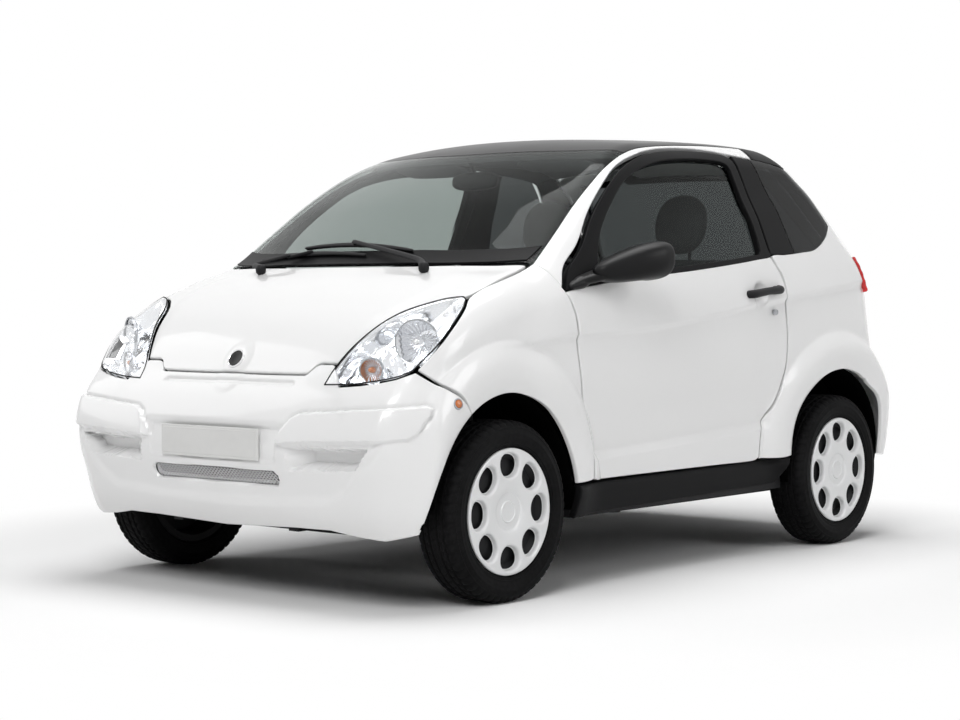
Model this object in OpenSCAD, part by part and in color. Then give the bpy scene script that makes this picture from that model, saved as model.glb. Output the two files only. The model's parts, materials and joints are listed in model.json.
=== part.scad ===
// Microcar: a light three-door car with plastic panels on a steel floor frame.
// The front faces -Y, the car's left is +X and the ground is z = 0.
// Body curves are keyed from the front axle, for a reference car of
// 1810 mm wheelbase, 1500 mm width and 1415 mm height, and scale with these sizes.

/* [Body] */
// Front axle to rear axle
wheelbase = 1810; // [1500:1:2200]
// Width over the wheel arches
body_w = 1500; // [1350:1:1800]
// Roof height above the ground
body_h = 1415; // [1200:1:1700]
// Front axle to the middle of the whole length
axle_to_mid = 884.6; // [700:0.1:1100]
// Thickness of a body panel
panel_t = 12; // [5:0.5:20]
// Thickness of a whole door below its window
door_t = 55; // [30:1:75]
// Thickness of the door's window frame
frame_t = 26; // [15:1:40]
// Thickness of the glass
glass_t = 5; // [3:0.5:8]
// Shut line between a moving panel and its neighbours
shut_gap = 6; // [5.5:0.5:8]
// Gap between a shut panel and its striker or stop
seal = 0.6; // [0.4:0.1:0.9]

/* [Wheels] */
// Outside diameter of a tyre
tyre_d = 522; // [430:1:560]
// Width of a tyre
tyre_w = 145; // [120:1:160]
// Diameter of the rim where the tyre sits
rim_d = 350; // [290:1:380]
// Between the middle planes of left and right tyres
track = 1322; // [1280:1:1340]
// Diameter of the stub axles
stub_d = 30; // [20:1:36]
// Running clearance of a wheel on its stub axle
hub_clear = 0.08; // [0.02:0.01:0.1]

/* [Cabin] */
// Diameter of the steering wheel
steer_d = 360; // [300:1:400]
// Distance of each seat from the middle of the car
seat_x = 300; // [270:1:330]
// Width of a seat
seat_w = 440; // [370:1:500]
// Height of the floor's underside
floor_z = 205; // [170:1:230]
// Thickness of the floor plate
floor_t = 25; // [15:1:40]
// Diameter of a jacking pad under the floor
jack_d = 60; // [40:1:90]
// Height of a jacking pad
jack_h = 12; // [8:1:20]

/* [Fittings] */
// Width of a number plate
plate_w = 410; // [340:1:520]
// Height of a number plate
plate_h = 90; // [75:1:110]
// Width of one mirror housing
mirror_w = 135; // [110:1:165]
// Width of the engine
engine_w = 450; // [380:1:480]
// Length of a door handle
handle_l = 180; // [150:1:220]

/* [Hidden] */

$fn = 64;
white = [0.93, 0.93, 0.93];
black = [0.05, 0.05, 0.06];
dark = [0.16, 0.16, 0.17];
steel = [0.45, 0.46, 0.48];
tint = [0.25, 0.30, 0.29];
fit = 0.5;                          // between two panels that meet
kx = body_w / 1500;
ky = wheelbase / 1810;
kz = body_h / 1415;
front_y = -axle_to_mid * ky;        // front axle
rear_y = front_y + wheelbase;       // rear axle
wheel_z = tyre_d / 2;
hub_x = track / 2;
kingpin_x = hub_x - tyre_w / 2 - 26;
function yy(v) = front_y + v * ky;  // a length along the car from the front axle
function xx(v) = v * kx;
function zz(v) = v * kz;

// ---- the body's outer surface ----
// Each table is a curve [place, value] on the reference car.
plan = [[-560, 700], [-300, 712], [0, 716], [350, 724], [800, 729], [1400, 726],
        [1800, 716], [2100, 698], [2300, 684]];
section = [[180, -22], [330, -4], [600, 2], [760, 2], [880, -6], [960, -25],
           [1100, -70], [1250, -124], [1400, -186]];
nose = [[180, -400], [260, -440], [340, -466], [400, -486], [510, -488],
        [590, -458], [650, -414], [760, -368], [900, -250]];
hood = [[-560, 490], [-470, 612], [-400, 725], [-300, 815], [-150, 884],
        [0, 942], [150, 982], [350, 1025]];
screen = [[500, -120], [850, -40], [950, 62], [1150, 325], [1365, 620],
          [1450, 740]];
roofline = [[500, 1318], [620, 1355], [830, 1387], [1100, 1405], [1386, 1413],
            [1600, 1408], [1800, 1388], [1900, 1370]];
rear = [[180, 2210], [300, 2255], [450, 2262], [570, 2252], [660, 2218],
        [800, 2204], [900, 2200], [990, 2165], [1040, 2115], [1200, 1960],
        [1330, 1830], [1420, 1740]];
swell = [[-560, 10], [-340, 6], [-200, 0], [1850, 0], [2150, 30], [2300, 36]];
swell_z = [[180, 0.9], [300, 1], [500, 1], [620, 0.25], [720, 0], [1400, 0]];
// Wheel arch openings in the side view: [middle y, middle z, half length, half height]
arch_front = [0, 207, 336, 391];
arch_rear = [1810, 346, 306, 268];
flare = 28;                         // the arch lips stand this far proud
flare_reach = 0.2;
function lip(a, y, z) =
    exp(-(max(norm([(y - a[0]) / a[2], (z - a[1]) / a[3]]) - 1, 0) / flare_reach) ^ 2);

// Smooth curve through a table's points
function seg(k, x, i = 0) = i >= len(k) - 2 || x <= k[i + 1][0] ? i : seg(k, x, i + 1);
function secant(k, i) = (k[i + 1][1] - k[i][1]) / (k[i + 1][0] - k[i][0]);
function slope(k, i) =
    i == 0 ? secant(k, 0) :
    i == len(k) - 1 ? secant(k, i - 1) :
    let (a = k[i][0] - k[i - 1][0], b = k[i + 1][0] - k[i][0])
    (secant(k, i - 1) * b + secant(k, i) * a) / (a + b);
function curve(k, x) =
    let (n = len(k) - 1)
    x < k[0][0] ? k[0][1] + (x - k[0][0]) * slope(k, 0) :
    x > k[n][0] ? k[n][1] + (x - k[n][0]) * slope(k, n) :
    let (i = seg(k, x), h = k[i + 1][0] - k[i][0], t = (x - k[i][0]) / h,
         a = slope(k, i), b = slope(k, i + 1))
    (2 * t ^ 3 - 3 * t ^ 2 + 1) * k[i][1] + (t ^ 3 - 2 * t ^ 2 + t) * h * a +
    (3 * t ^ 2 - 2 * t ^ 3) * k[i + 1][1] + (t ^ 3 - t ^ 2) * h * b;
// Meeting of two sides with the edge rounded by r
function both(r, a, b) =
    min(max(a, b), -r) + norm([max(r + a, 0), max(r + b, 0)]);
// Union of two shapes with the inner corner filled by r
function either(r, a, b) =
    let (h = max((r - abs(a - b)) / r, 0)) min(a, b) - h * h * r / 4;
// Distance outside the body: negative inside, on the reference car
function outside(p) =
    let (x = abs(p[0]) / kx, y = (p[1] - front_y) / ky, z = p[2] / kz,
         side = x - curve(plan, y) - curve(section, z)
                - curve(swell, y) * curve(swell_z, z)
                - flare * max(lip(arch_front, y, z), lip(arch_rear, y, z)),
         front = (curve(nose, z) + 0.0003 * max(x - 300, 0) ^ 2 - y) * 0.93,
         top = (z - curve(hood, y) + 0.00008 * x ^ 2) * 0.86,
         glass = (curve(screen, z) + 0.00034 * x ^ 2 - y) * 0.6,
         roof = z - curve(roofline, y) + 0.00012 * x ^ 2,
         back = (y - curve(rear, z) + 0.00016 * x ^ 2) * 0.9,
         low = both(140, both(90, side, top), front),
         cab = both(70, side, both(120, glass, roof)))
    both(110, either(40, low, cab), back);
// Root of outside() on the way from o along d, kept between a and b
function root(o, d, a, b, fa, fb, n) =
    let (m = a + (b - a) * min(max(fa / (fa - fb), 0.04), 0.96),
         fm = outside(o + d * m))
    n == 0 || abs(fm) < 0.02 ? m :
    fm < 0 ? root(o, d, m, b, fm, n % 3 == 0 ? fb / 2 : fb, n - 1)
           : root(o, d, a, m, n % 3 == 0 ? fa / 2 : fa, fm, n - 1);
function cast(o, d, b = 1) = let (r = root(o, d, 0, b, outside(o), outside(o + d * b), 24)) o + d * r;
// Points of the surface from two of their coordinates, on the reference car
function side_at(y, z) = cast([0, yy(y), zz(z)], [xx(900), 0, 0]);
function front_at(x, z) = cast([xx(x), yy(300), zz(z)], [0, -1000 * ky, 0]);
function back_at(x, z) = cast([xx(x), yy(1500), zz(z)], [0, 1000 * ky, 0]);
function top_at(x, y) = cast([xx(x), yy(y), zz(500)], [0, 0, zz(1100)]);
function clip(v, a, b) = min(max(v, a), b);
// Moves a point that is near the surface onto it
function onto(p) =
    let (o = [0.7 * p[0], clip(p[1], yy(100), yy(1700)), clip(p[2], zz(250), zz(650))])
    cast(o, p - o, 1.6);
function normal(p) =
    let (e = 1, f = outside(p),
         g = [outside(p + [e, 0, 0]) - f, outside(p + [0, e, 0]) - f,
              outside(p + [0, 0, e]) - f])
    g / norm(g);

// ---- patches ----
// Point at share s of a row of points, as a smooth curve
function along(k, s) =
    let (n = len(k) - 1, u = s * n, keys = function(c) [for (i = [0:n]) [i, k[i][c]]])
    [curve(keys(0), u), curve(keys(1), u), curve(keys(2), u)];
// Four edges a (bottom), b (top), c (start) and d (end) filled with a patch
function patch(a, b, c, d, ns, nt) =
    [for (i = [0:ns]) let (s = i / ns) [for (j = [0:nt]) let (t = j / nt)
        onto((1 - t) * along(a, s) + t * along(b, s)
             + (1 - s) * along(c, t) + s * along(d, t)
             - (1 - s) * (1 - t) * a[0] - s * (1 - t) * a[len(a) - 1]
             - (1 - s) * t * b[0] - s * t * b[len(b) - 1])]];
// Keys a to b of a smooth curve, with the points halfway between them
function cut(k, a, b) = [for (i = [2 * a:2 * b]) along(k, i / 2 / (len(k) - 1))];
// Two edges joined by straight rules
function ruled(a, b, ns, nt) =
    [for (i = [0:ns]) let (s = i / ns) [for (j = [0:nt]) let (t = j / nt)
        onto((1 - t) * along(a, s) + t * along(b, s))]];
// A grid of surface points given a depth, as one closed solid
module shell(grid, depth, closed = false, lift = 0) {
    ns = len(grid);
    nt = len(grid[0]);
    outer = [for (r = grid) for (p = r) p + normal(p) * lift];
    inner = [for (r = grid) for (p = r) p - normal(p) * (is_num(depth) ? depth : depth(p))];
    m = ns * nt;
    last = closed ? ns - 1 : ns - 2;
    function at(i, j) = (i % ns) * nt + j;
    quads = concat(
        [for (i = [0:last]) for (j = [0:nt - 2])
            [at(i, j), at(i + 1, j), at(i + 1, j + 1), at(i, j + 1)]],
        [for (i = [0:last]) for (j = [0:nt - 2])
            [m + at(i, j + 1), m + at(i + 1, j + 1), m + at(i + 1, j), m + at(i, j)]],
        [for (i = [0:last]) [m + at(i, 0), m + at(i + 1, 0), at(i + 1, 0), at(i, 0)]],
        [for (i = [0:last])
            [at(i, nt - 1), at(i + 1, nt - 1), m + at(i + 1, nt - 1), m + at(i, nt - 1)]],
        closed ? [] : [for (j = [0:nt - 2]) [at(0, j), at(0, j + 1), m + at(0, j + 1), m + at(0, j)]],
        closed ? [] : [for (j = [0:nt - 2])
            [m + at(ns - 1, j), m + at(ns - 1, j + 1), at(ns - 1, j + 1), at(ns - 1, j)]]);
    polyhedron(concat(outer, inner),
               [for (q = quads) for (f = [[q[0], q[2], q[1]], [q[0], q[3], q[2]]]) f]);
}
module right() mirror([1, 0, 0]) children();
module both_sides() { children(); right() children(); }
module tube(p, q, d) {
    v = q - p;
    translate(p)
        rotate([0, acos(v[2] / norm(v)), atan2(v[1], v[0])])
            cylinder(d = d, h = norm(v));
}
module block(x, y, z) translate([x[0], y[0], z[0]]) cube([x[1] - x[0], y[1] - y[0], z[1] - z[0]]);

// ---- lines where the panels meet, on the left, keyed on the reference car ----
g = shut_gap;
door_front = [[386, 330], [381, 412], [350, 560], [316, 746], [300, 815], [256, 888]];
door_frame = [[300, 950], [387, 1018], [486, 1115], [595, 1200], [707, 1268],
              [830, 1313], [960, 1338], [1100, 1349], [1240, 1350], [1330, 1345],
              [1368, 1332]];
door_back = [[1380, 1290], [1387, 1180], [1396, 1000], [1442, 930], [1456, 840], [1461, 728],
             [1446, 610], [1405, 520], [1352, 450], [1336, 390], [1331, 336]];
door_foot = [[1290, 322], [1150, 322], [850, 322], [550, 322], [440, 322]];
window_front = [[640, 938], [600, 934], [560, 930], [520, 926], [485, 924], [455, 928]];
window_top = [[440, 950], [462, 1010], [520, 1083], [622, 1166], [728, 1232],
              [842, 1272], [966, 1297], [1100, 1307], [1220, 1309], [1290, 1304],
              [1322, 1290]];
window_back = [[1332, 1250], [1339, 1150], [1345, 1040], [1320, 1012], [1270, 1006], [1210, 1001],
               [1150, 996], [1090, 990], [1030, 983], [970, 976], [910, 968]];
window_foot = [[850, 961], [810, 957], [770, 952], [730, 948], [690, 943]];
belt = [[250, 905], [640, 938], [910, 968], [1320, 1012]];
// Inner edge of the windscreen pillar and roof rail, then the rail's lower edge
rail_in = [[637, 209, 957], [632, 265, 1005], [620, 350, 1070], [604, 440, 1137],
           [585, 550, 1205], [565, 660, 1265], [545, 790, 1325], [532, 930, 1355],
           [522, 1080, 1375], [516, 1230, 1385], [510, 1385, 1388],
           [504, 1500, 1386], [496, 1620, 1378], [484, 1740, 1360]];
screen_top = [[330, 700], [0, 650]];
rail_out = [[247.5, 899.3], [291, 962], [379, 1030], [480, 1127], [590, 1212],
            [703, 1280], [828, 1322], [960, 1347], [1100, 1358], [1240, 1359],
            [1385, 1349], [1500, 1340], [1610, 1330], [1710, 1312]];
quarter_in = [[1338, 328], [1344, 392], [1360, 452], [1413, 515], [1455, 608],
              [1470, 728], [1466, 842], [1455, 930], [1430, 970], [1414, 1001],
              [1440, 1008], [1500, 1009],
              [1610, 1018], [1717, 1030], [1815, 1070], [1872, 1115],
              [1862, 1140], [1842, 1172], [1800, 1228], [1758, 1272], [1710.6, 1311.6]];
quarter_side = [[1504, 328], [1512, 405], [1538, 470], [1585, 528], [1650, 575],
                [1725, 604], [1810, 614], [1870, 608], [1925, 595], [1966, 577],
                [1988, 590], [2020, 620],
                [2080, 680]];
quarter_rear = [[665, 2130, 760], [668, 2085, 868], [648, 2040, 1004]];
quarter_hatch = [[591, 1008], [563, 1065], [527, 1167], [496, 1272]];
wing_foot = [[-282, 420], [-238, 483], [-168, 546], [-87, 585], [0, 598], [87, 585],
             [168, 546], [238, 483], [291, 402], [321, 318]];
wing_back = [[321, 318], [374, 326], [374, 412], [343, 560], [309, 746], [293, 815],
             [247, 897.5]];
lamp_in = [[395, -404, 630], [430, -380, 715], [530, -300, 795], [640, -118, 867]];
lamp_out = [[655, -335, 664], [692, -262, 735], [684, -182, 800], [656, -112, 862]];
bonnet_side = [[395, -402, 668], [432, -375, 730], [523, -300, 804],
               [603, -198, 857], [643, -104, 880], [644, 40, 922], [628, 186, 955]];
bumper_side = [[700, -336, 215], [735, -326, 330], [735, -288, 412], [700, -312, 540],
               [661, -336, 658]];
// Left side of the tailgate and of its window, in the rear view
hatch_side = [[577, 780], [589, 870], [581, 1000], [551, 1062], [515, 1165],
              [483, 1270], [464, 1334]];
hatch_window = [[505, 985], [508, 1010], [498, 1045], [478, 1095], [452, 1160],
                [425, 1225], [395, 1290]];

// Points on the reference car as points in space
function place(k) = [for (p = k) [xx(p[0]), yy(p[1]), zz(p[2])]];
function on_side(k, dy = 0, dz = 0) = [for (p = k) side_at(p[0] + dy, p[1] + dz)];
function on_back(k) = [for (p = k) back_at(p[0], p[1])];
function flip(k) = [for (p = k) [-p[0], p[1], p[2]]];
function turned(k) = [for (i = [len(k) - 1:-1:0]) k[i]];
// A row of points continued on the other side of the car, from left to right
function across(k) = concat(k, turned(flip([for (p = k) if (p[0] > 1) p])));
function loop_of(k) = concat(k, [k[0]]);
function part_of(k, a, b) = [for (i = [a:b]) k[i]];
// Share t moved towards the far side in fine and coarse steps
function ring(a, b, ns, ts) =
    [for (i = [0:ns - 1]) let (s = i / ns, p = along(a, s), q = along(b, s))
        [for (t = ts) onto(p * (1 - t) + q * t)]];

// ---- panels ----
module front_bumper() color(white) {
    top = place([[661, -336, 658], [520, -388, 630], [392, -412, 618], [300, -406, 648], [0, -401, 646]]);
    foot = place([[700, -336, 215], [560, -400, 200], [300, -425, 200], [0, -430, 200]]);
    side = place(bumper_side);
    shell(patch(across(foot), across(top), side, flip(side), 40, 7), panel_t);
}
module grille() color(dark) {
    // Mesh in the lower mouth, in front of the bumper's skin
    left = [for (p = [[238, 346], [238, 398]]) front_at(p[0], p[1])];
    shell(ruled(left, flip(left), 2, 12), -fit, lift = 5);
}
module number_plates() color([0.8, 0.8, 0.78]) {
    y = min([for (z = [410:18:500]) front_at(0, z)[1]]);
    z = zz(455);
    block([-plate_w / 2, plate_w / 2], [y - 4.5, y - fit], [z - plate_h / 2, z + plate_h / 2]);
    r = max([for (z = [475:18:565]) back_at(0, z)[1]]);
    w = zz(520);
    block([-plate_w / 2, plate_w / 2], [r + fit, r + 4.5], [w - plate_h / 2, w + plate_h / 2]);
}
module bonnet() color(white) {
    foot = place([[395, -402, 668], [300, -400, 660], [0, -400, 654]]);
    top = place([[628, 186, 955], [500, 134, 950], [250, 70, 950], [0, 49, 950]]);
    side = place(bonnet_side);
    shell(patch(across(foot), across(top), side, flip(side), 24, 12), panel_t);
}
module wing() color(white) {
    top = place([[668, -326, 664], [699, -256, 735], [692, -176, 803], [664, -100, 872],
                 [655, 40, 918], [637, 208.4, 956.6]]);
    end = concat(on_side(part_of(wing_back, 0, 6)), [top[5]]);
    start = concat([side_at(-282, 420)], place([[702, -306, 540]]), [top[0]]);
    shell(patch(on_side(wing_foot), top, start, end, 27, 8), panel_t);
}
module wing_left() wing();
module wing_right() right() wing();
module headlights() color([0.75, 0.77, 0.8])
    both_sides() shell(ruled(place(lamp_in), place(lamp_out), 12, 6), 60);
module windscreen() color(tint) {
    left = [for (p = cut(place(rail_in), 0, 6)) p - [fit, 0, 0]];
    foot = concat([left[0]], [for (p = [[500, 147], [250, 83], [0, 62]]) top_at(p[0], p[1])]);
    top = concat([left[12]], [for (p = screen_top) top_at(p[0], p[1])]);
    shell(patch(across(foot), across(top), left, flip(left), 16, 12), glass_t);
}
module roof_panel() color(black) {
    left = [for (p = cut(place(rail_in), 6, 13)) p + [-fit, fit, 0]];
    foot = concat([left[0]], [for (p = screen_top) top_at(p[0], p[1] + fit)]);
    top = concat([left[14]], [for (x = [300, 0]) top_at(x, 1740)]);
    shell(patch(across(foot), across(top), left, flip(left), 16, 14), panel_t);
}
module rail() color(white)
    shell(ruled(on_side(rail_out), place(rail_in), 26, 3), frame_t);
module roof_rail_left() rail();
module roof_rail_right() right() rail();
module quarter() color(white)
    shell(ruled(on_side(quarter_in),
                concat(on_side(quarter_side), place(quarter_rear), on_back(quarter_hatch),
                       [place([rail_in[13]])[0] + [0, fit, 0]]), 40, 6),
          frame_t);
module quarter_panel_left() quarter();
module quarter_panel_right() right() quarter();
module quarter_glass() color(tint) both_sides() {
    foot = [for (p = cut(on_side(quarter_in), 12, 15)) p + [0, 0, fit]];
    top = on_side(part_of(rail_out, 11, 13), -12, -fit);
    shell(patch(foot, top, [foot[0], on_side([[1550, 1180]])[0], top[0]],
                [foot[6], on_side([[1836, 1170]])[0], on_side([[1786, 1240]])[0], top[2]], 6, 8),
          glass_t);
}
module b_pillars() color(black) both_sides() {
    front = on_side([[1405, 1010], [1394, 1180], [1386, 1344]], 0, 0);
    back = on_side([[1607, 1018], [1547, 1180], [1487, 1337]], 0, 0);
    shell(ruled(front, back, 10, 5), frame_t);
}
door_rows = [0, 0.22, 0.45, 0.7, 0.92, 1];
function door_depth(p) =
    let (y = (p[1] - front_y) / ky, z = p[2] / kz)
    z < curve(belt, y) - 70 ? door_t : frame_t;
module door() color(white) {
    outer = loop_of(on_side(concat(door_front, door_frame, door_back, door_foot)));
    inner = loop_of(on_side(concat(window_front, window_top, window_back, window_foot)));
    shell(ring(outer, inner, 66, door_rows), function(p) door_depth(p), closed = true);
}
module door_left() door();
module door_right() right() door();
module door_glass() color(tint) {
    foot = on_side([[445, 922], [640, 930], [910, 960], [1330, 1006]]);
    top = on_side([[432, 950], [512, 1091], [720, 1242], [960, 1306], [1238, 1318], [1338, 1304]]);
    d = frame_t + fit;
    shell(ruled(foot, top, 18, 6), d + glass_t, lift = -d);
}
module door_glass_left() door_glass();
module door_glass_right() right() door_glass();
module tailgate() color(white) {
    outer = on_back(concat([[0, 698], [300, 698], [540, 706]], hatch_side,
                           [[300, 1357], [0, 1368]]));
    inner = on_back(concat([[0, 960], [280, 960], [460, 966]], hatch_window,
                           [[250, 1308], [0, 1314]]));
    shell(ring(loop_of(round_car(outer)), loop_of(round_car(inner)), 44, [0, 0.35, 0.7, 1]),
          frame_t, closed = true);
}
// A half loop from bottom middle to top middle, closed over the car's right side
function round_car(k) = concat(k, turned(flip(part_of(k, 1, len(k) - 2))));
module tailgate_glass() color(tint) {
    side = on_back([for (p = part_of(hatch_window, 1, 5)) [p[0] + 10, p[1]]]);
    left = concat(on_back([[500, 952]]), side, on_back([[400, 1316]]));
    d = frame_t + 5.5 * fit;
    shell(ruled(left, flip(left), 12, 10), d + glass_t, lift = -d);
}
module tail_lights() color([0.7, 0.05, 0.05]) both_sides()
    shell(ruled(place([[667, 2087, 872], [664, 2080, 930], [650, 2042.6, 998]]),
                on_back([[602, 872], [599, 930], [594, 1000]]), 6, 6), 45);
module rear_bumper() color(white) {
    top = concat(place([[667, 2087, 868]]),
                 on_back([[602, 868], [600.5, 861], [587, 775], [545, 695], [300, 688], [0, 688]]));
    foot = place([[706, 2098, 296], [640, 2190, 292], [350, 2240, 290], [0, 2252, 290]]);
    side = concat(on_side([[2098, 296], [2088, 420], [2042, 520], [1967, 570], [1994, 584],
                           [2024.5, 618], [2085, 680]]), place([[664, 2134.5, 761]]), [top[0]]);
    shell(patch(across(foot), across(top), side, flip(side), 44, 16), panel_t);
}
module sills() color(black) both_sides() {
    top = on_side([[326, 311], [700, 314], [1100, 315], [1500, 320]]);
    foot = on_side([[310, 214], [700, 222], [1100, 230], [1440, 238]]);
    shell(ruled(foot, top, 12, 2), 22);
}

// ---- floor and running gear ----
module chassis() color(steel) {
    f0 = yy(400);
    f1 = yy(1500);
    top = floor_z + floor_t;
    load = zz(350);
    block([-xx(640), xx(640)], [f0 + fit, f1], [floor_z, top]);
    // Firewall in front of the feet, and the bonnet platform under the windscreen
    block([-xx(640), xx(640)], [yy(385), f0], [floor_z, zz(860) - fit]);
    block([-xx(560), xx(560)], [yy(250), f0], [zz(860), zz(880)]);
    // Load floor behind the seats, and the step up to it
    block([-xx(640), xx(640)], [f1 - floor_t, f1], [top + fit, load + floor_t]);
    block([-xx(470), xx(470)], [f1 + fit, yy(2170)], [load, load + floor_t]);
    // Cross member behind the front bumper
    block([-xx(420), xx(420)], [yy(-414), yy(-385)], [zz(245), zz(305)]);
    rear_end = back_at(470, 290)[1] - panel_t * 1.05;
    both_sides() {
        // Rails to the front bumper and to the rear
        block([engine_w / 2 + fit, engine_w / 2 + 40], [yy(-385) + fit, yy(385) - fit],
              [floor_z, floor_z + 60]);
        block([xx(420), xx(470)], [f1 + fit, rear_end], [load - 60, load - fit]);
        // Inner sill and the post behind the door
        block([xx(640) + fit, xx(669.3)], [f0, yy(1519)], [floor_z + 10, zz(300)]);
        block([xx(655), xx(677.5)], [yy(1372), yy(1440)], [zz(300) + fit, zz(430)]);
        // Lamp carriers
        tube([xx(407.3), yy(-379.8), zz(305) + 3.9], [xx(554.4), yy(-254.7), zz(690.5)], 30);
        // Pads for a jack
        translate([xx(560), yy(700), floor_z - fit - jack_h]) cylinder(d = jack_d, h = jack_h);
    }
    strikers();
}
// What the shut panels lie against: striker pins for the doors, stops for the lids
module strikers() {
    d = side_at(1459, 700);
    tip = seal - 0.25;
    both_sides() {
        // Post with the door's striker
        block([xx(655), xx(695.4)], [d[1] + 30, d[1] + 60], [zz(300) + fit, zz(720)]);
        translate([d[0] - 44, d[1] + tip, d[2]])
            rotate([-90, 0, 0]) cylinder(d = 10, h = 30 - fit - tip);
    }
    stop(front_at(0, 690), panel_t) tube([0, yy(-401), zz(305) + 2.8], $end, 30);
    stop(back_at(0, 725), frame_t - 0.8) {
        tube([0, $end[1], zz(350) + floor_t + fit], $end - [0, 0, 1], 30);
    }
}
// A rubber stop square to the panel behind point p, and the post that carries it
module stop(p, depth) {
    n = normal(p);
    q = p - n * (depth + seal);
    $end = q - n * 40;
    tube(q, $end, 20);
    children();
}
module seats() color(dark) for (side = [-1, 1]) translate([side * seat_x, 0, 0]) {
    top = floor_z + floor_t + fit;
    w = seat_w / 2;
    rotate([90, 0, 90])
        translate([0, 0, -w])
            linear_extrude(seat_w)
                polygon([[yy(860), top], [yy(1330), top], [yy(1350), zz(470)],
                         [yy(1480), zz(1010)], [yy(1390), zz(1020)], [yy(1240), zz(520)],
                         [yy(870), zz(500)]]);
    translate([0, yy(1452), zz(1115)])
        rotate([80, 0, 0])
            cylinder(d = 230, h = 80, center = true);
    translate([0, yy(1440), zz(1005)])
        cylinder(d = 40, h = 20);
}
module dashboard() color(dark)
    rotate([90, 0, 90])
        translate([0, 0, -xx(600)])
            linear_extrude(xx(1200))
                polygon([[yy(400) + fit, zz(640)], [yy(520), zz(640)], [yy(600), zz(780)],
                         [yy(585), zz(850)], [yy(520), zz(900)], [yy(400) + fit, zz(930)]]);
wheel_c = [seat_x, yy(745), zz(870)];     // middle of the steering wheel
wheel_tilt = 28;                          // the wheel's plane leans this far
column_dir = [0, -cos(wheel_tilt), -sin(wheel_tilt)];
module steering_column() color(dark) {
    p = wheel_c + column_dir * 40;
    q = wheel_c + column_dir * 158;
    tube(p, q, 60);
}
module steering_wheel() color(black)
    translate(wheel_c)
        rotate([wheel_tilt - 90, 0, 0]) {
            rotate_extrude()
                translate([steer_d / 2 - 15, 0]) circle(d = 28);
            translate([0, 0, -14]) cylinder(d = 130, h = 34);
            for (a = [90, -20, 200])
                rotate(a) translate([40, -18, -8]) cube([steer_d / 2 - 60, 36, 14]);
            translate([0, 0, -39.6]) cylinder(d = 40, h = 30);
        }
module engine() color([0.35, 0.35, 0.36])
    block([-engine_w / 2, engine_w / 2], [yy(-300), yy(60)], [floor_z + 60, zz(640)]);
module front_axle() color(steel) {
    block([-xx(268), xx(268)], [front_y - 45, front_y + 45], [floor_z - 50, floor_z - fit]);
    both_sides() {
        tube([xx(260), front_y, floor_z - 20], [kingpin_x - 15, front_y, floor_z - 17], 22);
        translate([kingpin_x, front_y, floor_z - 28]) cylinder(d = 46, h = 22);
    }
}
module knuckle() color(steel) {
    z = wheel_z;
    translate([kingpin_x, front_y, floor_z - 5.6]) cylinder(d = 38, h = z - floor_z + 105);
    translate([kingpin_x, front_y, z])
        rotate([0, 90, 0]) cylinder(d = stub_d, h = hub_x - kingpin_x + 20);
    translate([kingpin_x, front_y, z + 90]) cylinder(d = 38, h = 230);
    tube([kingpin_x, front_y, z - 20], [kingpin_x - 20, front_y + 95, z - 30], 22);
}
module knuckle_left() knuckle();
module knuckle_right() right() knuckle();
module rear_axle() color(steel) {
    z = wheel_z;
    tube([-hub_x + tyre_w / 2 + 30, rear_y, z], [hub_x - tyre_w / 2 - 30, rear_y, z], 57);
    both_sides() {
        translate([hub_x - tyre_w / 2 - 31, rear_y, z])
            rotate([0, 90, 0]) cylinder(d = stub_d, h = tyre_w / 2 + 51);
        translate([xx(445), rear_y, z]) cylinder(d = 60, h = zz(350) - 60 - z - 0.4);
    }
}
module rim() color([0.8, 0.81, 0.83])
    rotate([0, 90, 0]) {
        r = rim_d / 2;
        w = tyre_w / 2 - 14;
        // Barrel with its two lips
        rotate_extrude()
            polygon([[r - 12, -w], [r + 9, -w], [r + 9, -w + 5], [r - 3, -w + 8], [r - 3, w - 8],
                     [r + 9, w - 5], [r + 9, w], [r - 12, w]]);
        // Hub and dished cover
        difference() {
            rotate_extrude()
                polygon([[0, -15], [48, -15], [52, 24], [r - 10, 24], [r - 10, w + 4], [r - 40, w + 10],
                         [60, w + 4], [40, w + 12], [0, w + 14]]);
            translate([0, 0, -20]) cylinder(d = stub_d + 2 * hub_clear, h = 56);
            for (a = [0:40:320])
                rotate(a) translate([r * 0.72, 0, 20])
                    cylinder(d = r * 0.3, h = w + 20);
        }
    }
module wheel_front_left() translate([hub_x, front_y, wheel_z]) rim();
module wheel_front_right() right() wheel_front_left();
module wheel_rear_left() translate([hub_x, rear_y, wheel_z]) rim();
module wheel_rear_right() right() wheel_rear_left();
module tyre() color(black)
    rotate([0, 90, 0])
        rotate_extrude($fn = 96) {
            r = tyre_d / 2;
            b = rim_d / 2 - 2.6;
            w = tyre_w / 2;
            f = rim_d / 2 + 9.5;
            polygon([[b, -w + 22.4], [b, w - 22.4], [f, w - 19.4], [f, w - 13], [f + 6, w - 5],
                     [b + 40, w], [r - 28, w - 3], [r - 8, w - 14], [r, w - 30], [r, -w + 30],
                     [r - 8, -w + 14], [r - 28, -w + 3], [b + 40, -w], [f + 6, -w + 5],
                     [f, -w + 13], [f, -w + 19.4]]);
        }
module tyre_front_left() translate([hub_x, front_y, wheel_z]) tyre();
module tyre_front_right() right() tyre_front_left();
module tyre_rear_left() translate([hub_x, rear_y, wheel_z]) tyre();
module tyre_rear_right() right() tyre_rear_left();

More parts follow.
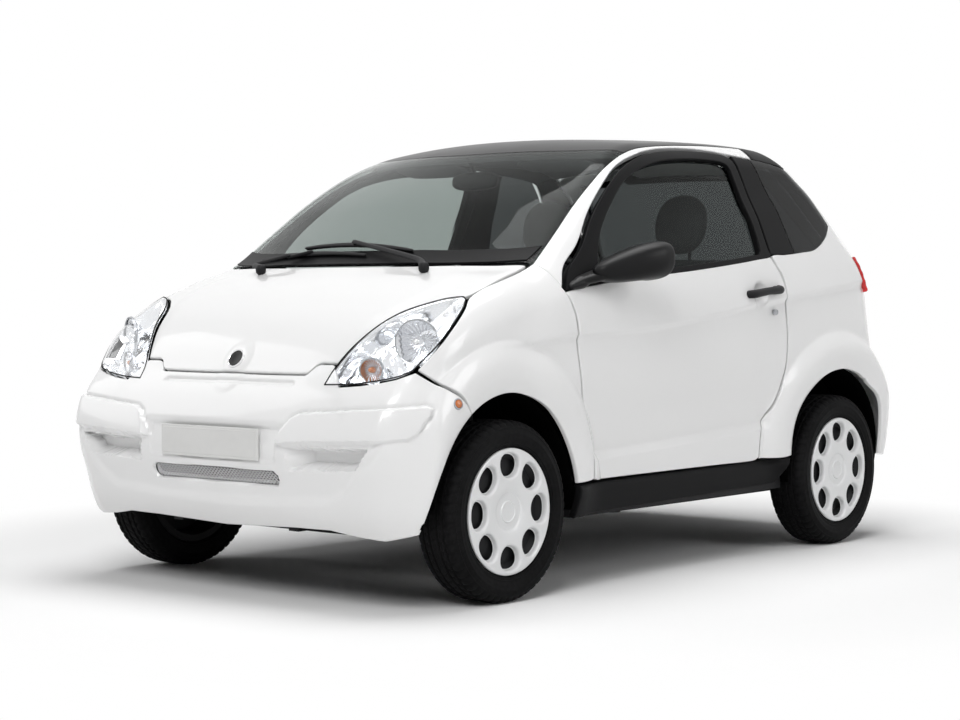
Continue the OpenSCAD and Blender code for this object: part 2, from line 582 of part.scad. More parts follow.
// ---- fittings ----
module wipers() color(black) for (p = [[-430, -40], [300, -120]]) {
    // A pivot standing on the foot of the glass, and its arm and blade
    a = onto([xx(p[0]), yy(70 + 0.00034 * p[0] ^ 2 + 40), zz(1000)]);
    b = onto([xx(p[1]), yy(70 + 0.00034 * p[1] ^ 2 + 90), zz(1040)]);
    tube(a + normal(a) * fit, a + normal(a) * 20, 24);
    hull() {
        translate(a + normal(a) * 16) sphere(d = 14, $fn = 32);
        translate(b + normal(b) * 16) sphere(d = 10, $fn = 32);
    }
}
module mirror_set() color(black) {
    a = side_at(360, 935);
    m = [a[0] + 95 + mirror_w / 2 - 40, yy(490), zz(975)];
    hull() {
        translate(m + [-mirror_w / 2 + 30, -20, 0]) sphere(d = 80, $fn = 32);
        translate(m + [mirror_w / 2 - 30, 0, 6]) sphere(d = 90, $fn = 32);
        translate(m + [0, 40, 5]) rotate([90, 0, 0]) cylinder(d = 92, h = 10, $fn = 32);
    }
    hull() {
        translate(m + [-mirror_w / 2 + 25, -25, -15]) sphere(d = 46, $fn = 32);
        translate(a + [15.2, 30, 2]) sphere(d = 26, $fn = 32);
    }
    // Pull handle
    h = side_at(1320, 885);
    hull() {
        translate(h + [11.3, -handle_l / 2 + 10, -8]) sphere(d = 20, $fn = 32);
        translate(h + [11.3, handle_l / 2 - 10, 8]) sphere(d = 20, $fn = 32);
    }
}
module mirror_left() mirror_set();
module mirror_right() right() mirror_set();

chassis();
front_bumper();
grille();
number_plates();
bonnet();
wing_left();
wing_right();
headlights();
windscreen();
wipers();
roof_panel();
roof_rail_left();
roof_rail_right();
quarter_panel_left();
quarter_panel_right();
quarter_glass();
b_pillars();
door_left();
door_right();
door_glass_left();
door_glass_right();
mirror_left();
mirror_right();
tailgate();
tailgate_glass();
tail_lights();
rear_bumper();
sills();
seats();
dashboard();
steering_column();
steering_wheel();
engine();
front_axle();
rear_axle();
knuckle_left();
knuckle_right();
wheel_front_left();
wheel_front_right();
wheel_rear_left();
wheel_rear_right();
tyre_front_left();
tyre_front_right();
tyre_rear_left();
tyre_rear_right();
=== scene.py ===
"""Microcar: a light three-door car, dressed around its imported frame.

Body lengths are in millimetres: x to the car's left, y to the rear of the front
axle and z up. They become metres of the shared frame when a mesh is made.
"""

import json
import logging
import math
from collections.abc import Callable, Sequence
from dataclasses import dataclass, field
from enum import Enum

import bmesh
import bpy
import numpy as np
from mathutils import Matrix

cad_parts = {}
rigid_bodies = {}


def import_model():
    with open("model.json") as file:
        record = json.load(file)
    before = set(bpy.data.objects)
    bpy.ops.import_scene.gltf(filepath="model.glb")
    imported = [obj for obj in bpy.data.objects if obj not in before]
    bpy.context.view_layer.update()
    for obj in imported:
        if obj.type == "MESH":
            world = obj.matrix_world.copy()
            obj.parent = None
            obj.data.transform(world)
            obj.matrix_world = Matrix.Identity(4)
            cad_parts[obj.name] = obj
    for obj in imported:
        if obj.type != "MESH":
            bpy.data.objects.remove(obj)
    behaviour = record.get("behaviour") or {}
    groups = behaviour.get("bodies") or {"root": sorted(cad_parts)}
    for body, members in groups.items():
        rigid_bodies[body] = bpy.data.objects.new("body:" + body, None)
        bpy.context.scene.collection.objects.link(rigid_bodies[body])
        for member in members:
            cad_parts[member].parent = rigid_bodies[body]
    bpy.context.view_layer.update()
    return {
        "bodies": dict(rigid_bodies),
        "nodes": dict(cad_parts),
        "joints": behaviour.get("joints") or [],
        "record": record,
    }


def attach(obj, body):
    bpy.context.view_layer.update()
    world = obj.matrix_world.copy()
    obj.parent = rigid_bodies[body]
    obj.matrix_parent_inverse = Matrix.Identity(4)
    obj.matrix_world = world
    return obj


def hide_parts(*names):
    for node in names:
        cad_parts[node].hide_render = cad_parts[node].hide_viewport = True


log = logging.getLogger("microcar")
Points = np.ndarray
AXLE_TO_MIDDLE = 884.6
REAR_AXLE = 1810.0
HUB_X = 661.0
TYRE_RADIUS = 261.0
PLATE_HALF = (205.0, 45.0)
PANEL = 12.0
SCREEN_BOW = 0.00034


# ---- curves and the body's surface ----
def step(low: float, high: float, value: Points) -> Points:
    """Smooth step from 0 at low to 1 at high: 3t^2 - 2t^3 of the share t between them."""
    t = np.clip((value - low) / (high - low), 0, 1)
    return t * t * (3 - 2 * t)


def rounded(value: Points, power: float) -> Points:
    """The value raised to a power below 1 with its sign kept, for squarish rings."""
    return np.sign(value) * np.abs(value) ** power


class Curve:
    """Smooth curve through keyed points, read at any place.

    Between two keys it is the cubic that has the keys' values and slopes. A key's
    slope is the mean of its two secants, each weighted by the other's length.
    Beyond its ends the curve runs on straight.
    """

    def __init__(self, keys: Sequence[tuple[float, float]]) -> None:
        """Args: keys: pairs of place and value, in rising order of place."""
        self.at, self.value = np.array(keys, float).T
        self.gap = np.diff(self.at)
        secant = np.diff(self.value) / self.gap
        self.slope = np.concatenate([secant[:1], secant[-1:]])
        if len(secant) > 1:
            a, b = self.gap[:-1], self.gap[1:]
            middle = (secant[:-1] * b + secant[1:] * a) / (a + b)
            self.slope = np.concatenate([secant[:1], middle, secant[-1:]])

    def __call__(self, place: Points) -> Points:
        """Value of the curve.

        Args:
            place: where the curve is read.
        Returns:
            The values, shaped as place.
        """
        place = np.asarray(place, float)
        i = np.clip(np.searchsorted(self.at, place) - 1, 0, len(self.gap) - 1)
        h = self.gap[i]
        far = (place - self.at[i]) / h
        t = np.clip(far, 0, 1)
        cubic = (
            (2 * t**3 - 3 * t**2 + 1) * self.value[i]
            + (t**3 - 2 * t**2 + t) * h * self.slope[i]
            + (3 * t**2 - 2 * t**3) * self.value[i + 1]
            + (t**3 - t**2) * h * self.slope[i + 1]
        )
        return cubic + (far - t) * h * np.where(far > 1, self.slope[i + 1], self.slope[i])


def along(keys: Sequence, share: Points, smooth: bool = True) -> Points:
    """Points on a line through keyed points.

    Args:
        keys: the points, each of three numbers.
        share: places from 0 to 1, counted by keys on a smooth line and by length
            on a straight-sided one.
        smooth: a curve through the keys, or straight runs between them.
    Returns:
        Array of points, one for each share.
    """
    keys = np.asarray(keys, float)
    if smooth:
        place = np.asarray(share) * (len(keys) - 1)
        axes = [Curve(list(zip(range(len(keys)), keys[:, c])))(place) for c in range(3)]
        return np.stack(axes, -1)
    run = np.concatenate([[0], np.cumsum(np.linalg.norm(np.diff(keys, axis=0), axis=1))])
    return np.stack([np.interp(share, run / run[-1], keys[:, c]) for c in range(3)], -1)


def both(radius: float, *sides: Points) -> Points:
    """Where all sides are met, with the edge between them rounded by radius."""
    inner = np.minimum(np.maximum.reduce(sides), -radius)
    return inner + np.sqrt(sum(np.maximum(radius + s, 0) ** 2 for s in sides))


def either(radius: float, a: Points, b: Points) -> Points:
    """Union of two shapes, with the inner corner filled over radius."""
    h = np.clip((radius - np.abs(a - b)) / radius, 0, 1)
    return np.minimum(a, b) - h * h * radius / 4


@dataclass(frozen=True)
class Arch:
    """A wheel arch: an ellipse in the side view, with a flared lip."""

    y: float
    z: float
    half_length: float
    half_height: float
    rim: float
    crest: float = 1.14

    def away(self, p: Points) -> Points:
        """Distance from the middle in arch sizes: 1 on the opening's edge."""
        return np.hypot((p[..., 1] - self.y) / self.half_length,
                        (p[..., 2] - self.z) / self.half_height)

    def flare(self, p: Points) -> Points:
        """Outward bulge of the panel: exp(-((away - 1) / 0.2)^2), at most 1."""
        return np.exp(-((np.maximum(self.away(p) - 1, 0) / 0.2) ** 2))

    def shaped(self, p: Points) -> Points:
        """What the pressed lip adds to the bulge, in millimetres.

        The lip rises from a crease at rim along t(2 - t) to its crest, and rolls
        back by 12 mm towards the opening.
        """
        n = self.away(p)
        t = np.clip((self.rim - n) / (self.rim - self.crest), 0, 1)
        roll = np.clip((self.crest - n) / (self.crest - 1), 0, 1.5) ** 1.6
        keep = step(self.z - 190, self.z - 60, p[..., 2])
        return (Skin.FLARE + 5) * (t * (2 - t) - self.flare(p)) * keep - 12 * roll

    def edge(self, start: float, end: float, count: int) -> Points:
        """Points on the opening's edge, from one angle to another in degrees."""
        a = np.radians(np.linspace(start, end, count))
        y = self.y - self.half_length * np.cos(a)
        return SKIN.side_at(y, self.z + self.half_height * np.sin(a))


FRONT_ARCH = Arch(0, 207, 336, 391, 1.38, 1.12)
REAR_ARCH = Arch(REAR_AXLE, 346, 306, 268, 1.5, 1.17)


class Skin:
    """The body's outer surface, as a field that is negative inside.

    Side, nose, bonnet, screen, roof and back are each a sheet given by a few
    curves, and the sheets meet in rounded edges.
    """

    FLARE = 28.0
    plan = Curve([(-560, 700), (-300, 712), (0, 716), (350, 724), (800, 729),
                  (1400, 726), (1800, 716), (2100, 698), (2300, 684)])
    section = Curve([(180, -22), (330, -4), (600, 2), (760, 2), (880, -6), (960, -25),
                     (1100, -70), (1250, -124), (1400, -186)])
    nose = Curve([(180, -400), (260, -440), (340, -466), (400, -486), (510, -488),
                  (590, -458), (650, -414), (760, -368), (900, -250)])
    hood = Curve([(-560, 490), (-470, 612), (-400, 725), (-300, 815), (-150, 884),
                  (0, 942), (150, 982), (350, 1025)])
    screen = Curve([(500, -120), (850, -40), (950, 62), (1150, 325), (1365, 620),
                    (1450, 740)])
    roofline = Curve([(500, 1318), (620, 1355), (830, 1387), (1100, 1405), (1386, 1413),
                      (1600, 1408), (1800, 1388), (1900, 1370)])
    rear = Curve([(180, 2210), (300, 2255), (450, 2262), (570, 2252), (660, 2218),
                  (800, 2204), (900, 2200), (990, 2165), (1040, 2115), (1200, 1960),
                  (1330, 1830), (1420, 1740)])
    swell = Curve([(-560, 10), (-340, 6), (-200, 0), (1850, 0), (2150, 30), (2300, 36)])
    swell_z = Curve([(180, 0.9), (300, 1), (500, 1), (620, 0.25), (720, 0), (1400, 0)])

    def outside(self, p: Points) -> Points:
        """Distance outside the body, negative inside.

        Args:
            p: points, in an array whose last axis is x, y, z.
        Returns:
            One number a point.
        """
        x, y, z = np.abs(p[..., 0]), p[..., 1], p[..., 2]
        lips = np.maximum(FRONT_ARCH.flare(p), REAR_ARCH.flare(p))
        side = (x - self.plan(y) - self.section(z)
                - self.swell(y) * self.swell_z(z) - self.FLARE * lips)
        front = (self.nose(z) + 0.0003 * np.maximum(x - 300, 0) ** 2 - y) * 0.93
        top = (z - self.hood(y) + 0.00008 * x**2) * 0.86
        glass = (self.screen(z) + SCREEN_BOW * x**2 - y) * 0.6
        roof = z - self.roofline(y) + 0.00012 * x**2
        back = (y - self.rear(z) + 0.00016 * x**2) * 0.9
        low = both(140, both(90, side, top), front)
        cabin = both(70, side, both(120, glass, roof))
        return both(110, either(40, low, cabin), back)

    def cast(self, start: Points, way: Points) -> Points:
        """Where lines from inside the body leave it, by halving and false position.

        Args:
            start: points inside the body.
            way: from each start to a point outside.
        Returns:
            Points on the surface.
        """
        start, way = np.broadcast_arrays(np.asarray(start, float), np.asarray(way, float))
        a, b = np.zeros(start.shape[:-1]), np.ones(start.shape[:-1])
        fa, fb = self.outside(start), self.outside(start + way)
        for turn in range(20):
            m = a + (b - a) * (0.5 if turn % 3 == 2 else np.clip(fa / (fa - fb), 0.03, 0.97))
            fm = self.outside(start + way * m[..., None])
            inside = fm < 0
            a, fa = np.where(inside, m, a), np.where(inside, fm, fa)
            b, fb = np.where(inside, b, m), np.where(inside, fb, fm)
        return start + way * ((a + b) / 2)[..., None]

    def _seen(self, start: Sequence, way: Sequence) -> Points:
        """Surface points from starts whose coordinates may be arrays."""
        return self.cast(np.stack(np.broadcast_arrays(*start), -1).astype(float), way)

    def side_at(self, y: Points, z: Points) -> Points:
        """Surface points of the left side, from y and z."""
        return self._seen((0.0, y, z), (900, 0, 0))

    def front_at(self, x: Points, z: Points) -> Points:
        """Surface points of the nose, from x and z."""
        return self._seen((x, 300.0, z), (0, -1000, 0))

    def back_at(self, x: Points, z: Points) -> Points:
        """Surface points of the back, from x and z."""
        return self._seen((x, 1500.0, z), (0, 1000, 0))

    def top_at(self, x: Points, y: Points) -> Points:
        """Surface points of the top, from x and y."""
        return self._seen((x, y, 500.0), (0, 0, 1100))

    def onto(self, p: Points) -> Points:
        """Moves points that are near the surface onto it, away from the cabin's middle."""
        p = np.asarray(p, float)
        start = np.stack([0.7 * p[..., 0], np.clip(p[..., 1], 100, 1700),
                          np.clip(p[..., 2], 250, 650)], -1)
        return self.cast(start, (p - start) * 2.4)

    def normal(self, p: Points) -> Points:
        """Unit normals of the field: its differences over 1 mm along x, y and z."""
        f = self.outside(p)
        g = np.stack([self.outside(p + shift) - f for shift in np.eye(3)], -1)
        return g / np.linalg.norm(g, axis=-1, keepdims=True)


SKIN = Skin()


def in_outline(outline: Sequence[tuple[float, float]], u: Points, v: Points) -> Points:
    """Distance inside a closed outline: positive inside, negative outside.

    Args:
        outline: corners in order round the outline.
        u: first coordinates.
        v: second coordinates.
    Returns:
        Distance to the nearest side, signed by a count of crossings.
    """
    near = np.full(np.shape(u), np.inf)
    within = np.zeros(np.shape(u), bool)
    for (a, b), (c, d) in zip(outline, [*outline[1:], outline[0]]):
        t = np.clip(((u - a) * (c - a) + (v - b) * (d - b))
                    / ((c - a) ** 2 + (d - b) ** 2), 0, 1)
        near = np.minimum(near, np.hypot(u - a - t * (c - a), v - b - t * (d - b)))
        if b != d:
            within ^= ((b > v) != (d > v)) & (u < (c - a) * (v - b) / (d - b) + a)
    return np.where(within, near, -near)


class Relief:
    """Pressed lines and recesses of the panels, in millimetres along the normal."""

    waist = Curve([(-120, 738), (25, 741), (316, 764), (678, 782), (1109, 827),
                   (1443, 867), (1722, 893), (1971, 919), (2150, 936)])
    crease = Curve([(380, 402), (648, 412), (905, 425), (1172, 438), (1400, 454)])
    brow = Curve([(-420, 375), (-330, 398), (-238, 432), (-155, 476), (-61, 500),
                  (0, 486), (60, 430)])
    corner = [(275, 462), (292, 500), (317, 532), (345, 546), (548, 560), (790, 574),
              (806, 566), (800, 540), (765, 498), (735, 483), (575, 474), (289, 459)]
    middle = [(-9, 286), (240, 294), (454, 308), (509, 334), (573, 396), (650, 478),
              (285, 478), (283, 511), (-9, 511)]
    pocket = [(300, 456), (604, 458), (556, 396), (368, 391), (312, 382)]
    plate = [(-9, 402), (262, 402), (270, 507), (-9, 507)]
    SCOOP = (1290.0, 873.0)

    def none(self, p: Points) -> Points:
        """No relief."""
        return np.zeros(p.shape[:-1])

    def side(self, p: Points) -> Points:
        """Waist step, sill crease and arch lips.

        The waist line falls 12 mm inwards within 22 mm of height and comes back as
        exp(-(d / 140)^2) below. The crease is a valley: it deepens as exp(-d / 50)
        from above and rises straight within 24 mm below.
        """
        y, z = p[..., 1], p[..., 2]
        below = self.waist(y) - z
        fade = step(-90, 130, y) * step(2140, 2040, y)
        total = -12 * step(0, 22, below) * np.exp(-((np.maximum(below - 22, 0) / 140) ** 2)) * fade
        over = z - self.crease(y)
        valley = np.where(over > 0, np.exp(-np.maximum(over, 0) / 50),
                          np.clip(1 + over / 24, 0, 1))
        total -= 11 * valley * step(372, 400, y) * step(1392, 1362, y)
        front = FRONT_ARCH.away(p) < 1.7
        return total + np.where(front, FRONT_ARCH.shaped(p), 0) + np.where(
            REAR_ARCH.away(p) < 1.8, REAR_ARCH.shaped(p), 0)

    def door(self, p: Points) -> Points:
        """The side's relief, with a round scoop behind the handle."""
        off = np.hypot(p[..., 1] - self.SCOOP[0], p[..., 2] - self.SCOOP[1])
        return self.side(p) - 15 * (1 - np.clip(off / 46, 0, 1) ** 2) * step(47, 43, off)

    def nose(self, p: Points) -> Points:
        """Bumper: raised corners over pockets, a sunk middle, the plate's recess and a mouth.

        Places are read on the bumper laid flat, where u runs on round the corner.
        """
        y, z = p[..., 1], p[..., 2]
        u = np.abs(p[..., 0]) + 0.7 * np.maximum(y + 455, 0)
        corner = in_outline(self.corner, u, z)
        middle = in_outline(self.middle, u, z)
        pocket = in_outline(self.pocket, u, z)
        total = -10 * step(-15, 15, middle) * (1 - step(-4, 6, corner))
        total += 11 * step(-4, 6, corner)
        total -= 24 * step(-2, 6, 21 - np.hypot(np.maximum(u - 243, 0), z - 356))
        total -= 4 * np.exp(-((np.minimum(corner + 5, 60) / 4) ** 2)) * (z > 505)
        total -= 54 * step(-1, 4, pocket) * np.clip((u - 296) / 85, 0, 1)
        total -= 5 * step(-2, 3, in_outline(self.plate, u, z))
        total -= 6 * step(8, 3, np.abs(z - 629)) * step(312, 298, u)
        total += 3 * step(66, 42, np.hypot(p[..., 0], z - 655))
        shaped = np.where(FRONT_ARCH.away(p) < 1.7, FRONT_ARCH.shaped(p), 0)
        return total + shaped * step(-345, -300, y)

    def bonnet(self, p: Points) -> Points:
        """A raised middle inside two brow lines, and a boss under the badge."""
        x = np.abs(p[..., 0])
        out = x - self.brow(p[..., 1])
        total = -5 * step(-8, 46, out) * step(60, -30, p[..., 1])
        return total + 5 * step(62, 38, np.hypot(x, (p[..., 2] - 690) * 1.1))

    def tail(self, p: Points) -> Points:
        """Rear bumper: the side's relief, and a sunk place for the plate."""
        x, z = np.abs(p[..., 0]), p[..., 2]
        sunk = in_outline([(-9, 460), (290, 460), (330, 585), (-9, 585)], x, z)
        low = np.exp(-(((z - 372) / 9) ** 2)) * 5
        far = p[..., 1] > 2150
        return self.side(p) + np.where(far, -12 * step(-10, 10, sunk) - low, 0)

    def hatch(self, p: Points) -> Points:
        """Tailgate: a ledge under the window and a grip over the lower edge."""
        x, z = np.abs(p[..., 0]), p[..., 2]
        grip = in_outline([(-9, 722), (150, 722), (170, 776), (-9, 776)], x, z)
        return -6 * step(900, 880, z) * step(40, 0, x - 520) - 14 * step(-6, 8, grip)


RELIEF = Relief()


# ---- grids and meshes ----
def graded(count: int, length: float, edge: float = 7.0) -> Points:
    """Shares from 0 to 1 in even steps, with fine ones near both ends.

    Args:
        count: even steps in the middle.
        length: the row's length in millimetres.
        edge: width of the fine border in millimetres.
    Returns:
        Rising shares.
    """
    fine = np.array([0, 0.12, 0.3, 0.55, 1]) * edge / length
    middle = np.linspace(fine[-1] * 1.6, 1 - fine[-1] * 1.6, count)
    return np.concatenate([fine, middle, 1 - fine[::-1]])


def patch(a: Sequence, b: Sequence, c: Sequence, d: Sequence, s: Points, t: Points,
          smooth: tuple[bool, bool, bool, bool] = (True, True, True, True)) -> Points:
    """Four edges filled with a patch of the body's surface.

    The patch is the sum of the two ruled surfaces between facing edges less the
    flat one through the corners, moved onto the body.

    Args:
        a: bottom edge, b: top edge, c: edge at s = 0, d: edge at s = 1.
        s: shares along a and b, t: shares along c and d.
        smooth: whether each edge is a curve or straight runs.
    Returns:
        Grid of points, s by t.
    """
    a, b, c, d = (np.asarray(k, float) for k in (a, b, c, d))
    ea, eb = along(a, s, smooth[0])[:, None], along(b, s, smooth[1])[:, None]
    ec, ed = along(c, t, smooth[2])[None], along(d, t, smooth[3])[None]
    s, t = s[:, None, None], t[None, :, None]
    flat = ((1 - s) * (1 - t) * a[0] + s * (1 - t) * a[-1]
            + (1 - s) * t * b[0] + s * t * b[-1])
    return SKIN.onto((1 - t) * ea + t * eb + (1 - s) * ec + s * ed - flat)


def ruled(a: Sequence, b: Sequence, s: Points, t: Points, smooth: bool = True) -> Points:
    """Grid on the body's surface between two edges, along straight rules."""
    ea, eb = along(a, s, smooth)[:, None], along(b, s, smooth)[:, None]
    t = t[None, :, None]
    return SKIN.onto((1 - t) * ea + t * eb)


def flip(points: Sequence) -> Points:
    """The same points on the other side of the car."""
    return np.asarray(points, float) * (-1, 1, 1)


def across(points: Sequence) -> Points:
    """A row from the left side to the middle, run on to the right side."""
    points = np.asarray(points, float)
    return np.concatenate([points, flip(points[points[:, 0] > 1])[::-1]])


def on_side(pairs: Sequence) -> Points:
    """Side points from pairs of y and z."""
    return SKIN.side_at(*np.array(pairs, float).T)


def on_back(pairs: Sequence) -> Points:
    """Back points from pairs of x and z."""
    return SKIN.back_at(*np.array(pairs, float).T)


def on_front(pairs: Sequence) -> Points:
    """Nose points from pairs of x and z."""
    return SKIN.front_at(*np.array(pairs, float).T)


def border_distance(grid: Points, closed: bool) -> Points:
    """Length along the grid's lines from each point to the nearest open border."""
    found = np.full(grid.shape[:2], np.inf)
    for axis in (1,) if closed else (0, 1):
        size = np.linalg.norm(np.diff(grid, axis=axis), axis=-1)
        pad = [(1, 0) if i == axis else (0, 0) for i in range(2)]
        run = np.pad(np.cumsum(size, axis=axis), pad)
        whole = run.take([-1], axis=axis)
        found = np.minimum(found, np.minimum(run, whole - run))
    return found


def border(grid: Points) -> Points:
    """The points round a grid's edge, once round, or its numbers for a grid of numbers."""
    return np.concatenate([grid[:-1, 0], grid[-1, :-1], grid[:0:-1, -1], grid[0, :0:-1]])


@dataclass
class Solid:
    """Vertices and faces of one piece, gathered from grids, in millimetres."""

    points: list[Points] = field(default_factory=list)
    faces: list[Points] = field(default_factory=list)
    count: int = 0

    def add(self, points: Points, faces: Points) -> "Solid":
        """Adds vertices and faces that count from the first of them."""
        self.points.append(np.asarray(points, float).reshape(-1, 3))
        self.faces.append(np.asarray(faces) + self.count)
        self.count += len(self.points[-1])
        return self

    def sheet(self, grid: Points, closed: tuple[bool, bool] = (False, False),
              out: Points | None = None) -> "Solid":
        """Adds a grid of points as a sheet of quads.

        Args:
            grid: points, s by t.
            closed: whether s and t run round and meet their start.
            out: a direction that the sheet faces, or None to keep its order.
        Returns:
            The solid itself.
        """
        ns, nt = grid.shape[:2]
        i = np.arange(ns if closed[0] else ns - 1)[:, None]
        j = np.arange(nt if closed[1] else nt - 1)[None]
        i2, j2 = (i + 1) % ns, (j + 1) % nt
        quads = np.stack([i * nt + j, i2 * nt + j, i2 * nt + j2, i * nt + j2], -1)
        quads = quads.reshape(-1, 4)
        if out is not None:
            p = grid.reshape(-1, 3)
            turn = np.cross(p[quads[:, 2]] - p[quads[:, 0]], p[quads[:, 3]] - p[quads[:, 1]])
            mean = np.broadcast_to(out, grid.shape).reshape(-1, 3)[quads[:, 0]]
            if (turn * mean).sum() < 0:
                quads = quads[:, ::-1]
        return self.add(grid, quads)

    def shell(self, grid: Points, depth: float | Points, lift: float = 0.0,
              relief: Callable[[Points], Points] = RELIEF.none, hem: float = 4.0,
              closed: bool = False) -> "Solid":
        """Adds a panel: a grid on the body given thickness, with hemmed edges.

        The outer face sits lift plus relief along the normal, and within hem of
        the border d it drops by hem - sqrt(hem^2 - (hem - d)^2).

        Args:
            grid: points on the body's surface, s by t.
            depth: how far inside the surface the inner face lies.
            lift: how far outside it the outer face lies.
            relief: pressed lines, as millimetres at each point.
            hem: radius of the rounded edge.
            closed: whether s runs round and meets its start.
        Returns:
            The solid itself.
        """
        n = SKIN.normal(grid)
        short = np.clip(hem - border_distance(grid, closed), 0, hem)
        drop = hem - np.sqrt(np.maximum(hem**2 - short**2, 0))
        pressed = relief(grid)
        outer = grid + n * (lift + pressed - drop)[..., None]
        inner = grid + n * (np.minimum(pressed, 0) - depth)[..., None]
        if closed:
            ring = np.concatenate([outer, inner[:, ::-1]], axis=1)
            return self.sheet(ring, (True, True), np.concatenate([n, -n[:, ::-1]], axis=1))
        ns, nt = grid.shape[:2]
        m = ns * nt
        top = np.arange(m).reshape(ns, nt)
        q = np.stack([top[:-1, :-1], top[1:, :-1], top[1:, 1:], top[:-1, 1:]], -1).reshape(-1, 4)
        rim = border(top)
        after = np.roll(rim, -1)
        wall = np.stack([rim, rim + m, after + m, after], -1)
        quads = np.concatenate([q, q[:, ::-1] + m, wall])
        turn = np.cross(outer[1:, :-1] - outer[:-1, :-1], outer[:-1, 1:] - outer[:-1, :-1])
        if (turn * n[:-1, :-1]).sum() < 0:
            quads = quads[:, ::-1]
        return self.add(np.concatenate([outer.reshape(-1, 3), inner.reshape(-1, 3)]), quads)

    def lathe(self, profile: Sequence, middle: Sequence, count: int = 96,
              axis: Sequence = (1, 0, 0)) -> "Solid":
        """Adds a turned shape.

        Args:
            profile: pairs of radius and place along the axis.
            middle: the point that places start from.
            count: steps round the axis.
            axis: direction of the axis.
        Returns:
            The solid itself.
        """
        r, h = np.array(profile, float).T
        along_axis, u, v = frame_of(axis)
        a = np.linspace(0, 2 * np.pi, count, endpoint=False)[:, None, None]
        ring = np.cos(a) * u + np.sin(a) * v
        grid = np.asarray(middle, float) + ring * r[:, None] + along_axis * h[:, None]
        return self.sheet(grid, (True, False), None)

    def tube(self, points: Sequence, radius: float | Sequence, count: int = 16,
             steps: int = 24, flat: float = 1.0, up: Sequence = (0, 0, 1)) -> "Solid":
        """Adds a bar along a smooth path, with rounded ends.

        Args:
            points: keys of the path.
            radius: one radius, or one at each key.
            count: steps round the bar.
            steps: steps along it.
            flat: share of the radius across the other way.
            up: direction that the flattened side faces.
        Returns:
            The solid itself.
        """
        keys = np.asarray(points, float)
        s = np.linspace(0, 1, steps)
        line = along(keys, s)
        size = np.interp(s, np.linspace(0, 1, np.size(radius)), np.atleast_1d(radius))
        tangent = np.gradient(line, axis=0)
        tangent /= np.linalg.norm(tangent, axis=1, keepdims=True)
        side = np.cross(tangent, np.asarray(up, float))
        side /= np.linalg.norm(side, axis=1, keepdims=True)
        top = np.cross(side, tangent)
        end = np.array([0.02, 0.5, 0.85])
        share = np.concatenate([end, np.ones(steps), end[::-1]])
        push = np.concatenate([-np.sqrt(1 - end**2), np.zeros(steps), np.sqrt(1 - end**2)[::-1]])
        k = np.concatenate([[0] * 3, np.arange(steps), [steps - 1] * 3])
        centre = line[k] + tangent[k] * (push * size[k])[:, None]
        a = np.linspace(0, 2 * np.pi, count, endpoint=False)[None, :, None]
        around = np.cos(a) * side[k][:, None] + np.sin(a) * top[k][:, None] * flat
        grid = centre[:, None] + around * (size[k] * share)[:, None, None]
        return self.sheet(grid, (False, True), around)

    def mound(self, middle: Sequence, half: Sequence, power: float = 2.6,
              count: int = 48, turn: float = 0.0) -> "Solid":
        """Adds a rounded box: |x/a|^p + |y/b|^p + |z/c|^p = 1.

        Args:
            middle: its middle.
            half: half sizes a, b and c.
            power: p, from 2 for an ellipsoid upwards for a squarer box.
            count: steps round it.
            turn: lean about the x axis in degrees.
        Returns:
            The solid itself.
        """
        a = np.linspace(-np.pi, np.pi, count, endpoint=False)[:, None]
        b = np.linspace(-np.pi / 2, np.pi / 2, count // 2 + 1)[None]
        way = np.stack(np.broadcast_arrays(np.cos(a) * np.cos(b), np.sin(a) * np.cos(b),
                                           np.sin(b)), -1)
        size = (np.abs(way) ** power).sum(-1, keepdims=True) ** (-1 / power)
        p = way * size * np.asarray(half, float)
        c, s = math.cos(math.radians(turn)), math.sin(math.radians(turn))
        p = p @ np.array([[1, 0, 0], [0, c, s], [0, -s, c]])
        return self.sheet(p + np.asarray(middle, float), (True, False), way)

    def block(self, low: Sequence, high: Sequence) -> "Solid":
        """Adds a plain box between two corners; a bevel finishes it."""
        corners = np.array([[x, y, z] for x in (0, 1) for y in (0, 1) for z in (0, 1)])
        faces = [[0, 1, 3, 2], [4, 6, 7, 5], [0, 4, 5, 1], [2, 3, 7, 6], [0, 2, 6, 4],
                 [1, 5, 7, 3]]
        return self.add(np.asarray(low) + corners * (np.asarray(high) - np.asarray(low)), faces)

    def extrude(self, outline: Sequence, start: float, end: float) -> "Solid":
        """Adds an outline of y and z pairs carried along x, with both ends closed."""
        pairs = np.asarray(outline, float)
        rows = [np.column_stack([np.full(len(pairs), x), pairs]) for x in (start, end)]
        m = len(pairs)
        i = np.arange(m)
        j = (i + 1) % m
        self.add(np.concatenate(rows), np.stack([i, j, j + m, i + m], -1))
        for row, order in zip(rows, (1, -1)):
            mid = row.mean(0)
            fan = np.stack([np.full(m, m), i[::order], j[::order]], -1)
            self.add(np.concatenate([row, [mid]]), fan)
        return self

    def mirrored(self) -> "Solid":
        """The same solid on the other side of the car."""
        return Solid([flip(p) for p in self.points], [f[:, ::-1] for f in self.faces],
                     self.count)

    def joined(self, other: "Solid") -> "Solid":
        """This solid with another one added."""
        self.points += other.points
        self.faces += [f + self.count for f in other.faces]
        self.count += other.count
        return self


def loft(grid: Points) -> Solid:
    """A closed shape from closed rows, with a flat cap over the first and the last."""
    caps = [np.broadcast_to(grid[k].mean(0), grid[k].shape)[None] for k in (0, -1)]
    return Solid().sheet(np.concatenate([caps[0], grid, caps[1]]), (False, True))


def frame_of(axis: Sequence) -> tuple[Points, Points, Points]:
    """A unit axis and two unit directions square to it, right-handed."""
    w = np.asarray(axis, float) / np.linalg.norm(axis)
    u = np.cross(w, (0, 0, 1) if abs(w[2]) < 0.9 else (0, 1, 0))
    u /= np.linalg.norm(u)
    return w, u, np.cross(w, u)


